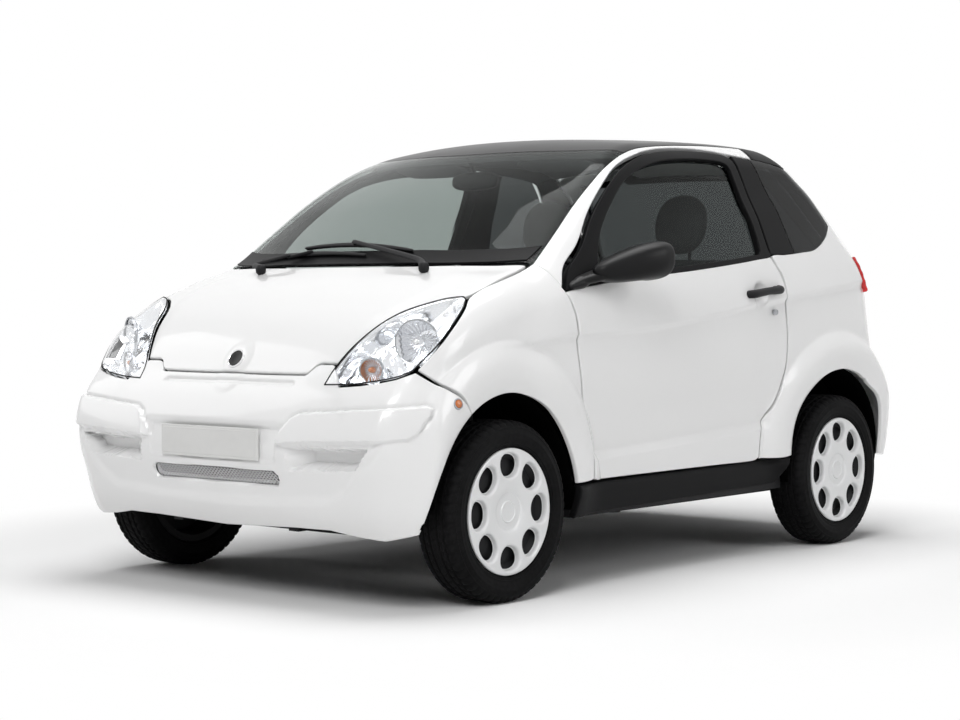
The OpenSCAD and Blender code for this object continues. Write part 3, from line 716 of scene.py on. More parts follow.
# ---- finishes ----
class Value:
    """A number that a node puts out. Python's operators add Math nodes to it."""

    def __init__(self, sheet: "Sheet", socket: bpy.types.NodeSocket) -> None:
        """Args: sheet: the node sheet it is on. socket: where the number comes out."""
        self.sheet, self.socket = sheet, socket

    def _math(self, operation: str, *values: "Value | float") -> "Value":
        """A Math node of that operation on the values."""
        return self.sheet.value("ShaderNodeMath", {"operation": operation},
                                dict(enumerate(values)))

    def __add__(self, other: "Value | float") -> "Value":
        """Sum."""
        return self._math("ADD", self, other)

    def __radd__(self, other: float) -> "Value":
        """Sum, reflected."""
        return self._math("ADD", other, self)

    def __sub__(self, other: "Value | float") -> "Value":
        """Difference."""
        return self._math("SUBTRACT", self, other)

    def __rsub__(self, other: float) -> "Value":
        """Difference, reflected."""
        return self._math("SUBTRACT", other, self)

    def __mul__(self, other: "Value | float") -> "Value":
        """Product."""
        return self._math("MULTIPLY", self, other)

    def __rmul__(self, other: float) -> "Value":
        """Product, reflected."""
        return self._math("MULTIPLY", other, self)

    def __pow__(self, other: float) -> "Value":
        """Power."""
        return self._math("POWER", self, other)

    def __abs__(self) -> "Value":
        """Size without sign."""
        return self._math("ABSOLUTE", self)

    def above(self, level: float) -> "Value":
        """1 where the number is above level, else 0."""
        return self._math("GREATER_THAN", self, level)

    def wave(self) -> "Value":
        """Sine of the number."""
        return self._math("SINE", self)

    def ease(self, low: float, high: float) -> "Value":
        """Smooth step from 0 at low to 1 at high."""
        return self.sheet.value("ShaderNodeMapRange", {"interpolation_type": "SMOOTHSTEP"},
                                {0: self, 1: low, 2: high})


class Sheet:
    """The nodes of one material or of the world."""

    def __init__(self, owner: bpy.types.Material | bpy.types.World) -> None:
        """Args: owner: what the nodes belong to."""
        owner.use_nodes = True
        self.owner, self.tree = owner, owner.node_tree
        self.shader = self.tree.nodes.get("Principled BSDF")
        self.place = self.node("ShaderNodeTexCoord").outputs["Object"]

    def node(self, kind: str, settings: dict | None = None,
             inputs: dict | None = None) -> bpy.types.Node:
        """Any node, with its settings made first and its sockets filled or linked.

        Args:
            kind: the node's type.
            settings: properties by name; "stops" holds a ramp's places and colours.
            inputs: values, sockets or Values by socket name or number.
        Returns:
            The node.
        """
        made = self.tree.nodes.new(kind)
        for key, value in (settings or {}).items():
            if key == "stops":
                for element, (place, colour) in zip(made.color_ramp.elements, value):
                    element.position, element.color = place, (*colour, 1)
            else:
                setattr(made, key, value)
        for key, value in (inputs or {}).items():
            self.fill(made.inputs[key], value)
        return made

    def fill(self, socket: bpy.types.NodeSocket, value: object) -> None:
        """Links a Value or socket to a socket, or sets a plain value on it."""
        source = value.socket if isinstance(value, Value) else value
        if isinstance(source, bpy.types.NodeSocket):
            self.tree.links.new(source, socket)
        else:
            socket.default_value = source

    def value(self, kind: str, settings: dict | None = None, inputs: dict | None = None,
              output: str | int = 0) -> Value:
        """A number from a new node."""
        return Value(self, self.node(kind, settings, inputs).outputs[output])

    def noise(self, size: float, detail: float = 2.0) -> Value:
        """Noise from 0 to 1 with lumps of that size in millimetres."""
        return self.value("ShaderNodeTexNoise", None,
                          {"Vector": self.place, "Scale": 1000 / size, "Detail": detail}, "Fac")

    def cells(self, size: float) -> Value:
        """Distance from the middle of cells of that size in millimetres."""
        return self.value("ShaderNodeTexVoronoi", None,
                          {"Vector": self.place, "Scale": 1000 / size}, "Distance")

    def axis(self, name: str) -> Value:
        """One coordinate of the place, in millimetres."""
        made = self.node("ShaderNodeSeparateXYZ", None, {0: self.place})
        return Value(self, made.outputs[name]) * 1000.0

    def blend(self, share: Value, a: Sequence, b: Sequence) -> bpy.types.NodeSocket:
        """A colour between a and b."""
        made = self.node("ShaderNodeMix", {"data_type": "RGBA"},
                         {"Factor": share, 6: (*a, 1), 7: (*b, 1)})
        return made.outputs[2]

    def seen(self) -> Value:
        """1 for camera, glass and gloss rays, else 0."""
        path = self.node("ShaderNodeLightPath").outputs
        rays = path["Is Camera Ray"]
        for other in ("Is Transmission Ray", "Is Glossy Ray"):
            rays = self.value("ShaderNodeMath", {"operation": "MAXIMUM"},
                              {0: rays, 1: path[other]})
        return rays

    def raised(self, height: Value, depth: float) -> None:
        """Gives the surface that height pattern, of that depth in millimetres."""
        bump = self.node("ShaderNodeBump", None,
                         {"Height": height, "Distance": depth / 1000, "Strength": 1.0})
        self.fill(self.shader.inputs["Normal"], bump.outputs[0])


class Grain(Enum):
    """What the surface is like close up."""

    GLOSS = "gloss"
    PEBBLED = "pebbled"
    WOVEN = "woven"
    CAST = "cast"
    BRUSHED = "brushed"
    CARPET = "carpet"
    RIBBED = "ribbed"
    CLEAR = "clear"


@dataclass(frozen=True)
class Finish:
    """One finish: its plain numbers, its close-up grain and how much it varies."""

    name: str
    colour: tuple[float, float, float]
    rough: float = 0.5
    grain: Grain = Grain.GLOSS
    metal: float = 0.0
    coat: float = 0.0
    tone: float = 0.03
    size: float = 1.0
    depth: float = 0.03
    glow: float = 0.0
    clear: float = 0.0
    ior: float = 1.45
    spec: float = 0.5

    def _height(self, s: Sheet) -> Value:
        """The grain's height pattern."""
        if self.grain is Grain.WOVEN:
            w = 2 * math.pi / self.size
            warp = (s.axis("X") * w).wave() * (s.axis("Z") * w).wave()
            return warp + (s.axis("Y") * w).wave() * (s.axis("Z") * w + 1.57).wave() * 0.7
        if self.grain is Grain.PEBBLED:
            return s.cells(self.size) ** 0.7 + s.noise(self.size * 5) * 0.4
        if self.grain is Grain.BRUSHED:
            return (s.axis("Z") * (2 * math.pi / self.size)).wave() * 0.3 + s.noise(self.size * 3)
        if self.grain is Grain.CARPET:
            return s.noise(self.size, 5.0) + s.cells(self.size * 2) * 0.5
        if self.grain is Grain.RIBBED:
            return abs((s.axis("X") * (math.pi / self.size)).wave())
        return s.noise(self.size, 3.0)

    def material(self) -> bpy.types.Material:
        """The material, made on first use and shared afterwards."""
        ready = bpy.data.materials.get(self.name)
        if ready:
            return ready
        s = Sheet(bpy.data.materials.new(self.name))
        socket = s.shader.inputs
        drift = s.noise(180.0) * 0.6 + s.noise(self.size * 9) * 0.4
        dark = [c * (1 - self.tone) for c in self.colour]
        light = [min(c * (1 + self.tone), 1) for c in self.colour]
        s.fill(socket["Base Color"], s.blend(drift.ease(0.3, 0.7), dark, light))
        socket["Roughness"].default_value = self.rough
        if self.grain is not Grain.CLEAR:
            s.fill(socket["Roughness"], (drift - 0.5) * (self.rough * 0.3) + self.rough)
        socket["Metallic"].default_value = self.metal
        socket["IOR"].default_value = self.ior
        socket["Specular IOR Level"].default_value = self.spec
        if self.coat:
            socket["Coat Weight"].default_value = self.coat
            socket["Coat Roughness"].default_value = 0.03
        if self.clear:
            socket["Transmission Weight"].default_value = self.clear
        if self.glow:
            socket["Emission Color"].default_value = (*self.colour, 1)
            socket["Emission Strength"].default_value = self.glow
        if self.depth:
            s.raised(self._height(s), self.depth)
        self.extra(s, drift)
        return s.owner

    def extra(self, s: Sheet, drift: Value) -> None:
        """What a special finish adds; a plain one adds nothing."""


@dataclass(frozen=True)
class GreyerLowPaint(Finish):
    """White gel-coat, a little darker and greyer towards the sills."""

    low_grey: tuple[float, float, float] = (0.62, 0.61, 0.59)

    def extra(self, s: Sheet, drift: Value) -> None:
        """Mixes a darker grey in below 330 mm, broken up by the noise."""
        # Darker, greyer tint towards the bottom, in patches by the noise.
        low = (1 - s.axis("Z").ease(190, 330)) * drift * 0.22
        s.fill(s.shader.inputs["Base Color"], s.blend(low, self.colour, self.low_grey))


@dataclass(frozen=True)
class Rubber(Finish):
    """Tyre rubber, mottled with a dusty grey."""

    worn: tuple[float, float, float] = (0.010, 0.010, 0.0105)

    def extra(self, s: Sheet, drift: Value) -> None:
        """Mixes a dusty grey in by the noise."""
        s.fill(s.shader.inputs["Base Color"],
               s.blend(drift.ease(0.35, 0.7), self.colour, self.worn))


class Slot(str, Enum):
    """Material slots of the record."""

    WHITE = "white_panel"
    ROOF = "roof_black"
    BLACK = "black_plastic"
    GLASS = "tinted_glass"
    LAMP = "lamp_clear"
    RED = "lamp_red"
    PLATE = "plate"
    STEEL = "frame_steel"
    CLOTH = "seat_fabric"
    COVER = "wheel_cover"
    TYRE = "tyre_rubber"


PAINT = GreyerLowPaint("white_gel_coat", (0.85, 0.85, 0.85), 0.3, coat=0.7, tone=0.006,
                  size=2.5, depth=0.0006)
ROOF_BLACK = Finish("roof_black_gloss", (0.006, 0.006, 0.0065), 0.3, size=6.0, depth=0.003,
                    spec=0.2)
PILLAR_BLACK = Finish("pillar_black_satin", (0.005, 0.005, 0.0055), 0.42, size=1.2, depth=0.01,
                      spec=0.08)
TRIM_BLACK = Finish("grained_black", (0.010, 0.010, 0.011), 0.5, Grain.PEBBLED, size=1.3,
                    depth=0.06, spec=0.2)
SILL_BLACK = Finish("sill_black", (0.006, 0.006, 0.0065), 0.46, Grain.PEBBLED, size=1.6,
                    depth=0.05, spec=0.08)
MIRROR_BLACK = Finish("mirror_black", (0.005, 0.005, 0.0055), 0.36, Grain.PEBBLED, size=0.9,
                      depth=0.03, spec=0.2)
SEAL_BLACK = Finish("rubber_seal", (0.008, 0.008, 0.008), 0.65, Grain.CAST, size=2.0,
                    depth=0.04, spec=0.15)
# Near-black with no gloss: felt for the arch liners, and painted shade in the mouth behind the
# front mesh.
DARK = Finish("arch_felt_and_painted_shade", (0.003, 0.003, 0.003), 0.9, Grain.CARPET, size=3.0, depth=0.3,
              spec=0.0)
GLASS = Finish("grey_green_glass", (0.50, 0.54, 0.525), 0.0, Grain.CLEAR, tone=0.004, depth=0,
               clear=1.0, ior=1.12)
DARK_GLASS = Finish("dark_rear_glass", (0.07, 0.075, 0.077), 0.02, Grain.CLEAR, tone=0.01,
                    depth=0, clear=1.0, ior=1.2)
LENS = Finish("clear_lens", (0.97, 0.975, 0.98), 0.0, Grain.CLEAR, tone=0.002, depth=0,
              clear=1.0, ior=1.35)
RED_LENS = Finish("red_lens", (0.62, 0.006, 0.008), 0.2, Grain.RIBBED, tone=0.04, size=5.0,
                  depth=0.15, coat=0.3)
AMBER = Finish("amber_lens", (0.55, 0.14, 0.012), 0.2, Grain.RIBBED, tone=0.05, size=3.0,
               depth=0.15, coat=1.0)
CHROME = Finish("reflector_chrome", (0.86, 0.87, 0.89), 0.07, Grain.CAST, metal=1.0, tone=0.02,
                size=20.0, depth=0.05)
BRIGHT = Finish("badge_chrome", (0.8, 0.8, 0.81), 0.12, metal=1.0, tone=0.02, size=2.0,
                depth=0.01)
BEZEL = Finish("lamp_bezel_grey", (0.42, 0.43, 0.45), 0.3, metal=0.7, tone=0.05, size=3.0,
               depth=0.02)
MESH = Finish("mesh_steel", (0.74, 0.74, 0.75), 0.35, Grain.CAST, metal=0.2, size=2.0,
              depth=0.03)
PLATE = Finish("blank_plate", (0.72, 0.72, 0.71), 0.4, Grain.CAST, tone=0.02, size=3.0,
               depth=0.01)
COVER = Finish("cover_silver_white", (0.78, 0.785, 0.79), 0.3, coat=0.6, tone=0.015, size=3.0,
               depth=0.008)
STEEL_BLACK = Finish("painted_steel", (0.012, 0.012, 0.013), 0.5, Grain.CAST, size=4.0,
                     depth=0.05, spec=0.2)
CAST = Finish("cast_alloy", (0.25, 0.25, 0.26), 0.55, Grain.CAST, metal=0.8, tone=0.08,
              size=2.5, depth=0.2)
RUBBER = Rubber("tyre_rubber_black", (0.004, 0.004, 0.0042), 0.62, Grain.CAST, tone=0.05,
                size=1.6, depth=0.06, spec=0.06)
CLOTH = Finish("seat_cloth", (0.07, 0.072, 0.076), 0.9, Grain.WOVEN, tone=0.12, size=2.4,
               depth=0.35)
BOLSTER = Finish("seat_bolster_cloth", (0.10, 0.10, 0.105), 0.88, Grain.WOVEN, tone=0.1,
                 size=1.8, depth=0.25)
DASH = Finish("dashboard_grain", (0.045, 0.046, 0.05), 0.6, Grain.PEBBLED, size=1.6, depth=0.09)
LINING = Finish("head_lining", (0.26, 0.27, 0.275), 0.9, Grain.CARPET, size=1.5, depth=0.1)
CARPET = Finish("floor_carpet", (0.03, 0.03, 0.032), 0.95, Grain.CARPET, size=2.0, depth=0.6)
MIRROR_GLASS = Finish("mirror_silver", (0.8, 0.82, 0.83), 0.02, metal=1.0, tone=0.003,
                      size=50.0, depth=0.0)


# ---- the workshop ----
@dataclass
class Workshop:
    """Turns solids into finished pieces that ride on the frame's bodies."""

    made: int = 0

    def mesh(self, name: str, solid: Solid, weld: bool) -> bpy.types.Mesh:
        """A mesh in metres from a solid in millimetres from the front axle."""
        mesh = bpy.data.meshes.new(name)
        points = np.concatenate(solid.points) / 1000
        points[:, 1] -= AXLE_TO_MIDDLE / 1000
        mesh.vertices.add(len(points))
        mesh.vertices.foreach_set("co", points.astype(np.float32).ravel())
        corners = np.concatenate([f.ravel() for f in solid.faces])
        sizes = np.concatenate([np.full(len(f), f.shape[1]) for f in solid.faces])
        mesh.loops.add(len(corners))
        mesh.loops.foreach_set("vertex_index", corners.astype(np.int32))
        mesh.polygons.add(len(sizes))
        mesh.polygons.foreach_set("loop_start", np.r_[0, np.cumsum(sizes)[:-1]].astype(np.int32))
        mesh.update(calc_edges=True)
        mesh.validate()
        if weld:
            merge(mesh)
        return mesh

    def piece(self, name: str, shape: Solid | bpy.types.Mesh, finish: Finish, body: str,
              slot: Slot, stands_for: Sequence[str] = (), bevel: float = 0.0, smooth: int = 0,
              sharp: float = 38.0, weld: bool = False) -> bpy.types.Object:
        """Makes one piece.

        Args:
            name: the piece's name.
            shape: its solid, in millimetres from the front axle, or a finished mesh.
            finish: its finish.
            body: the body it rides on.
            slot: the record's material slot; not used.
            stands_for: nodes of the frame that it replaces.
            bevel: width of a bevel in millimetres, or 0.
            smooth: levels of Subdivision Surface, or 0.
            sharp: edges that turn more than this many degrees stay sharp.
            weld: whether vertices that meet are merged and normals made to agree.
        Returns:
            The piece's object.
        """
        mesh = self.mesh(name, shape, weld) if isinstance(shape, Solid) else shape
        mesh.shade_smooth()
        mesh.set_sharp_from_angle(angle=math.radians(sharp))
        obj = bpy.data.objects.new(name, mesh)
        bpy.context.scene.collection.objects.link(obj)
        obj.data.materials.append(finish.material())
        if bevel:
            cut = obj.modifiers.new("edges", "BEVEL")
            cut.width, cut.segments, cut.limit_method = bevel / 1000, 3, "ANGLE"
            cut.angle_limit = math.radians(35)
        if smooth:
            fine = obj.modifiers.new("smooth", "SUBSURF")
            fine.levels = fine.render_levels = smooth
        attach(obj, body)
        if stands_for:
            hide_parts(*stands_for)
        self.made += 1
        log.info("%s: %d faces on %s", name, len(mesh.polygons), body)
        return obj

    def pair(self, name: str, solid: Solid, finish: Finish, bodies: tuple[str, str], slot: Slot,
             stands_for: Sequence[str] = (), **rest: float) -> None:
        """Makes a left piece and its mirror image.

        Args:
            name: the pieces' name without its side.
            solid: the left one.
            finish: their finish.
            bodies: the left and right bodies.
            slot: the record's slot.
            stands_for: names of nodes, without _left or _right.
            rest: passed on to piece().
        """
        for side, body, shape in zip(("left", "right"), bodies, (solid, solid.mirrored())):
            nodes = [f"{n}_{side}" for n in stands_for]
            self.piece(f"{name}_{side}", shape, finish, body, slot, nodes, **rest)


def merge(mesh: bpy.types.Mesh) -> None:
    """Merges vertices within a hundredth of a millimetre and turns faces outwards."""
    work = bmesh.new()
    work.from_mesh(mesh)
    bmesh.ops.remove_doubles(work, verts=work.verts, dist=1e-5)
    bmesh.ops.recalc_face_normals(work, faces=work.faces)
    work.to_mesh(mesh)
    work.free()


ROOT = ("root", "root")
DOORS = ("door_left", "door_right")


# ---- lines that panels share, on the left side ----
DOOR_FRONT = [(386, 327), (384, 345), (381, 412), (350, 560), (316, 746), (300, 815), (260, 884)]
DOOR_BACK = [(1331, 332), (1336, 390), (1352, 450), (1405, 520), (1446, 610), (1461, 728),
             (1456, 840), (1442, 930), (1397, 1000)]
BELT = [(260, 884), (350, 899), (488, 914), (733, 936), (961, 955), (1200, 978), (1397, 1000)]
WING_BACK = [(321, 318), (374, 326), (374, 412), (343, 560), (309, 746), (293, 815),
             (247, 897.5)]
RAIL_IN = [(637, 209, 957), (632, 265, 1005), (620, 350, 1070), (604, 440, 1137),
           (585, 550, 1205), (565, 660, 1265), (545, 790, 1325), (532, 930, 1355),
           (522, 1080, 1375), (516, 1230, 1385), (510, 1385, 1388), (504, 1500, 1386),
           (496, 1620, 1378), (484, 1740, 1360)]
RAIL_OUT = [(247, 898), (291, 962), (379, 1030), (480, 1127), (590, 1212), (703, 1280),
            (828, 1322), (960, 1347), (1100, 1358), (1240, 1359), (1385, 1349),
            (1500, 1340), (1610, 1330), (1710, 1312)]
QUARTER_IN = [(1338, 328), (1344, 392), (1360, 452), (1413, 515), (1455, 608), (1470, 728),
              (1466, 842), (1455, 930), (1430, 970), (1414, 1001), (1440, 1008),
              (1500, 1009), (1610, 1018), (1717, 1030), (1815, 1070), (1872, 1115),
              (1862, 1140), (1842, 1172), (1800, 1228), (1758, 1272), (1710.6, 1311.6)]
QUARTER_SIDE = [(1504, 328), (1512, 405), (1538, 470), (1585, 528), (1650, 575),
                (1725, 604), (1810, 614), (1870, 608), (1925, 595), (1966, 577),
                (1988, 590), (2020, 620), (2080, 680)]
HATCH_SIDE = [(577, 780), (589, 870), (581, 1000), (551, 1062), (515, 1165), (483, 1270),
              (464, 1334)]
HATCH_WINDOW = [(505, 985), (508, 1010), (498, 1045), (478, 1095), (452, 1160),
                (425, 1225), (395, 1290)]
LAMP_IN = [(391, -407, 626), (401, -373, 673), (442, -314, 750), (502, -215, 825),
           (581, -134, 862), (640, -98, 872)]
LAMP_FOOT = [(391, -407, 626), (450, -400, 628), (516, -393, 633), (575, -383, 641),
             (625, -362, 652), (657, -334, 668)]
LAMP_OUT = [(657, -334, 668), (684, -262, 735), (684, -200, 790), (670, -140, 836),
            (652, -104, 866)]
SHUT = [(729, -216, 589), (709, -274, 629), (664, -326, 668)]


@dataclass
class FrontEnd:
    """Front bumper, bonnet and wings, with their small fittings."""

    shop: Workshop
    arch_start: float = 2.0
    arch_shut: float = 60.0

    def bumper(self) -> None:
        """The bumper: a patch from the apron to the bonnet's edge, wrapped to the arches."""
        arch = FRONT_ARCH.edge(self.arch_start, self.arch_shut, 12)
        side = [*arch, *(np.array(SHUT) + (0, -2, -4))]
        foot = [arch[0], (599, -381, 200), (513, -401, 207), (422, -417, 221),
                (294, -421, 220), (0, -415, 209)]
        top = [side[-1], (625, -364, 646), (575, -385, 635), (516, -395, 627), (450, -404, 622),
               (390, -409, 619), (384, -404, 630), (388, -394, 660), (396, -372, 678),
               (390, -372, 682), (342, -372, 682), (330, -374, 678), (318, -378, 667),
               (308, -386, 655), (298, -388, 651), (200, -392, 650), (0, -394, 650)]
        s, t = graded(300, 1900, 5), graded(90, 430, 5)
        even = np.linspace(0, 1, 600)
        top_row, foot_row = along(across(top), even, False), along(across(foot), even, False)
        grid = patch(foot_row, top_row, side, flip(side), s, t, (True, True, False, False))
        skin = Solid().shell(grid, PANEL, relief=RELIEF.nose, hem=5)
        self.shop.piece("front_bumper_skin", skin, PAINT, "root", Slot.WHITE, ["front_bumper"])

    def grille(self) -> None:
        """Expanded mesh in the lower mouth: slanted strands over a near-black box, painted shade
        in place of the dark opening behind.
        """
        middle, half, high, cell = 356.0, 262.0, 19.0, 19.0
        outline = self._slot_outline(half, high, middle, 64)
        # Painted shade: a near-black box without gloss closes the slot behind the mesh, in place
        # of the shade inside the opening.
        ring = np.stack([self._sunk(outline, -17), self._sunk(outline, -31)], 1)
        frame = Solid().sheet(ring, (True, False))
        back = np.stack([ring[:, 1], np.broadcast_to(ring[:, 1].mean(0), ring[:, 1].shape)], 1)
        frame.sheet(back, (True, False))
        self.shop.piece("mouth_painted_shade", frame, DARK, "root", Slot.BLACK)
        strands = Solid()
        for lean in (1, -1):
            for k in np.arange(-half - high, half + high, cell * 0.72):
                v = np.linspace(-high, high, 5)
                x = k + lean * v * 1.25
                keep = np.abs(x) < half - high + np.sqrt(np.maximum(high**2 - v**2, 0)) + 4
                if keep.sum() < 2:
                    continue
                line = self._sunk(np.column_stack([x, v + middle])[keep], -19)
                strands.tube(line, 1.35, 6, max(3, int(keep.sum())), 1.0, (0, 1, 0))
        self.shop.piece("mouth_mesh", strands, MESH, "root", Slot.BLACK, ["grille"])

    def _slot_outline(self, half: float, high: float, middle: float, count: int) -> Points:
        """Pairs of x and z round a slot with round ends."""
        a = np.linspace(0, 2 * np.pi, count, endpoint=False)
        x = np.sign(np.cos(a)) * (half - high) + high * np.cos(a)
        return np.column_stack([x, middle + high * np.sin(a)])

    def _sunk(self, pairs: Points, lift: float) -> Points:
        """Nose points from pairs of x and z, lift millimetres outside the base surface."""
        p = on_front(pairs)
        return p + SKIN.normal(p) * lift

    def plate(self) -> None:
        """A blank plate with a rounded border, screwed to the bumper."""
        y = float(SKIN.front_at(0, 455)[1]) + 9
        solid = Solid()
        for size, deep in ((1.0, 0.0), (0.955, -1.2)):
            w, h = PLATE_HALF[0] * size, PLATE_HALF[1] * (size if size == 1 else 0.84)
            solid.block((-w, y - 4 + deep, 455 - h), (w, y + deep * 0.5, 455 + h))
        self.shop.piece("front_plate", solid, PLATE, "root", Slot.PLATE, bevel=1.2)

    def bonnet(self) -> None:
        """The bonnet: a patch between the lamps and the wings."""
        foot = [(400, -366, 687), (345, -366, 687), (334, -368, 684), (322, -372, 676),
                (309, -382, 661), (298, -385, 656), (200, -390, 655), (0, -392, 655)]
        side = [(400, -366, 687), (434, -318, 750), (493, -219, 829), (572, -137, 868),
                (633, -96, 880), (645, -40, 897), (645, 40, 922), (628, 186, 955)]
        top = [side[-1], (500, 134, 950), (250, 70, 950), (0, 49, 950)]
        s, t = graded(180, 1100, 5), graded(90, 560, 5)
        foot_row = along(across(foot), np.linspace(0, 1, 400), False)
        grid = patch(foot_row, across(top), side, flip(side), s, t)
        skin = Solid().shell(grid, PANEL, relief=RELIEF.bonnet, hem=5)
        self.shop.piece("bonnet_skin", skin, PAINT, "bonnet", Slot.WHITE, ["bonnet"])
        inner = Solid().shell(grid[6:-6:2, 6:-6:2], 20, -13.5, hem=6)
        self.shop.piece("bonnet_lining", inner, STEEL_BLACK, "bonnet", Slot.WHITE)
        at = SKIN.front_at(0.0, 689.0)
        n = SKIN.normal(at)
        disc = Solid().lathe([(0, 5), (14, 6.2), (24, 7.4), (26.5, 7.2)], at, 64, n)
        self.shop.piece("badge_blank", disc, ROOF_BLACK, "bonnet", Slot.BLACK, weld=True)
        rim = Solid().lathe([(25.5, 4), (25.5, 9), (27.5, 10.2), (30.5, 9), (31.5, 4), (25.5, 4)],
                            at, 64, n)
        self.shop.piece("badge_rim", rim, BRIGHT, "bonnet", Slot.LAMP, weld=True)

    def wing(self) -> None:
        """A wing: a patch from the arch's lip up to the bonnet and back to the door."""
        foot = FRONT_ARCH.edge(self.arch_shut, 163.4, 40)
        top = np.array([(668, -322, 672), (690, -258, 735), (690, -196, 790), (677, -136, 838),
                        (657, -92, 872), (652, -30, 897), (653, 40, 919), (648, 120, 938),
                        (637, 208.4, 956.6)])
        start = [foot[0], *(np.array(SHUT) + (0, 2, 3))[:2], top[0]]
        end = [*on_side(WING_BACK), top[-1]]
        s, t = graded(150, 760, 4), graded(70, 320, 4)
        grid = patch(foot, top, start, end, s, t, (True, True, True, False))
        skin = Solid().shell(grid, PANEL, relief=RELIEF.side, hem=3.5)
        self.shop.pair("wing_skin", skin, PAINT, ROOT, Slot.WHITE, ["wing"])

    def indicators(self) -> None:
        """A small round amber lamp on each bumper corner."""
        at = SKIN.side_at(-242.0, 574.0)
        n = SKIN.normal(at)
        at = at + n * float(RELIEF.nose(at))
        lens = Solid().lathe([(0, 8), (6, 7.4), (11, 5), (12, 1), (12, -3)], at, 32, n)
        self.shop.pair("side_indicator", lens, AMBER, ROOT, Slot.LAMP, weld=True)
        rim = Solid().lathe([(11.6, 1), (12.6, 4.6), (15, 3.6), (16.2, 0), (16.2, -4)], at, 32, n)
        self.shop.pair("side_indicator_rim", rim, BEZEL, ROOT, Slot.LAMP, weld=True)

    def build(self) -> None:
        """Makes every piece of the front end."""
        self.bumper()
        self.grille()
        self.plate()
        self.bonnet()
        self.wing()
        self.indicators()


@dataclass
class Headlight:
    """A clear lens over a chrome reflector with two bowls, in a rubber seal."""

    shop: Workshop
    deep: float = 52.0
    main: tuple[float, float, float] = (607.0, -258.0, 745.0)
    low: tuple[float, float, float] = (516.0, -345.0, 668.0)
    axis: tuple[float, float, float] = (-0.648, 0.761, -0.03)
    main_r: float = 62.0
    low_r: float = 33.0

    def grid(self, inset: float = 0.0) -> Points:
        """The lamp's patch of the surface, drawn in by a share at each border."""
        s = np.linspace(inset, 1 - inset, 90)
        t = np.linspace(inset, 1 - inset * 0.6, 90)
        tip = [LAMP_IN[-1], LAMP_OUT[-1]]
        return patch(LAMP_FOOT, tip, LAMP_IN, LAMP_OUT, s, t)

    def bowl(self, middle: Sequence, radius: float, deep: float) -> Solid:
        """A parabolic bowl that looks forward: depth falls as (r / R)^2, with flutes."""
        r = np.linspace(0.12, 1, 26)
        a = np.linspace(0, 2 * np.pi, 120, endpoint=False)[:, None]
        flute = 1.2 * np.abs(np.sin(a * 12)) * np.sin(np.pi * r)
        y = deep * (1 - r**2)[None] - flute
        x = radius * r * np.cos(a)
        z = radius * r * np.sin(a)
        lean = 0.42
        way = np.stack([x * math.cos(lean) - y * math.sin(lean),
                        x * math.sin(lean) + y * math.cos(lean), z + 0 * y], -1)
        return Solid().sheet(way + np.asarray(middle), (True, False), (0.4, -1, 0))

    def build(self) -> None:
        """Makes the pair of headlights."""
        grid = self.grid(0.004)
        lens = Solid().shell(grid[::2, ::2], 2.5, 0.5, hem=2)
        self.shop.pair("headlight_lens", lens, LENS, ROOT, Slot.LAMP)
        n = SKIN.normal(grid)
        far = border_distance(grid, False)
        facets = 2.6 * np.sin(grid[..., 0] / 6.5 + grid[..., 2] / 9) * np.cos(grid[..., 2] / 11)
        sink = 5 + self.deep * step(2, 26, far) + facets * step(15, 30, far)
        for middle, radius in ((self.main, self.main_r), (self.low, self.low_r)):
            arm = np.cross(grid - np.asarray(middle), self.axis)
            off = np.linalg.norm(arm, axis=-1)
            sink += 30 * step(radius + 4, radius - 6, off)
        back = Solid().sheet(grid - n * sink[..., None], out=n)
        self.shop.pair("headlight_reflector", back, CHROME, ROOT, Slot.LAMP)
        bowls = self.bowl(self.main, self.main_r, 46).joined(self.bowl(self.low, self.low_r, 24))
        self.shop.pair("headlight_bowls", bowls, CHROME, ROOT, Slot.LAMP)
        rims = Solid()
        for middle, radius in ((self.main, self.main_r), (self.low, self.low_r)):
            rims.lathe([(radius - 1.5, 6), (radius + 2, 8), (radius + 4, 0), (radius - 1.5, -6)],
                       middle, 72, (0.41, -0.91, 0))
        self.shop.pair("headlight_rings", rims, BEZEL, ROOT, Slot.LAMP, weld=True)
        bulbs = Solid().mound(np.array(self.low) + (-4, 6, 0), (9, 14, 9), 2.0, 24)
        self.shop.pair("headlight_amber_bulb", bulbs, AMBER, ROOT, Slot.LAMP, weld=True)
        cap = Solid().mound(np.array(self.main) + (-8, 14, 0), (13, 20, 13), 2.4, 24)
        self.shop.pair("headlight_bulb_cap", cap, BRIGHT, ROOT, Slot.LAMP, weld=True)
        edge = border(grid)
        edge = np.concatenate([edge[::4], edge[:1]])
        seal = Solid().tube(edge, 2.2, 8, len(edge) * 2, 0.8, (0.5, -0.7, 0.5))
        self.shop.pair("headlight_seal", seal, SEAL_BLACK, ROOT, Slot.LAMP)
        box = Solid().shell(grid[2:-2:3, 2:-2:3], self.deep + 40, -self.deep - 36, hem=8)
        self.shop.pair("headlight_case", box, TRIM_BLACK, ROOT, Slot.LAMP)
        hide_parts("headlights")


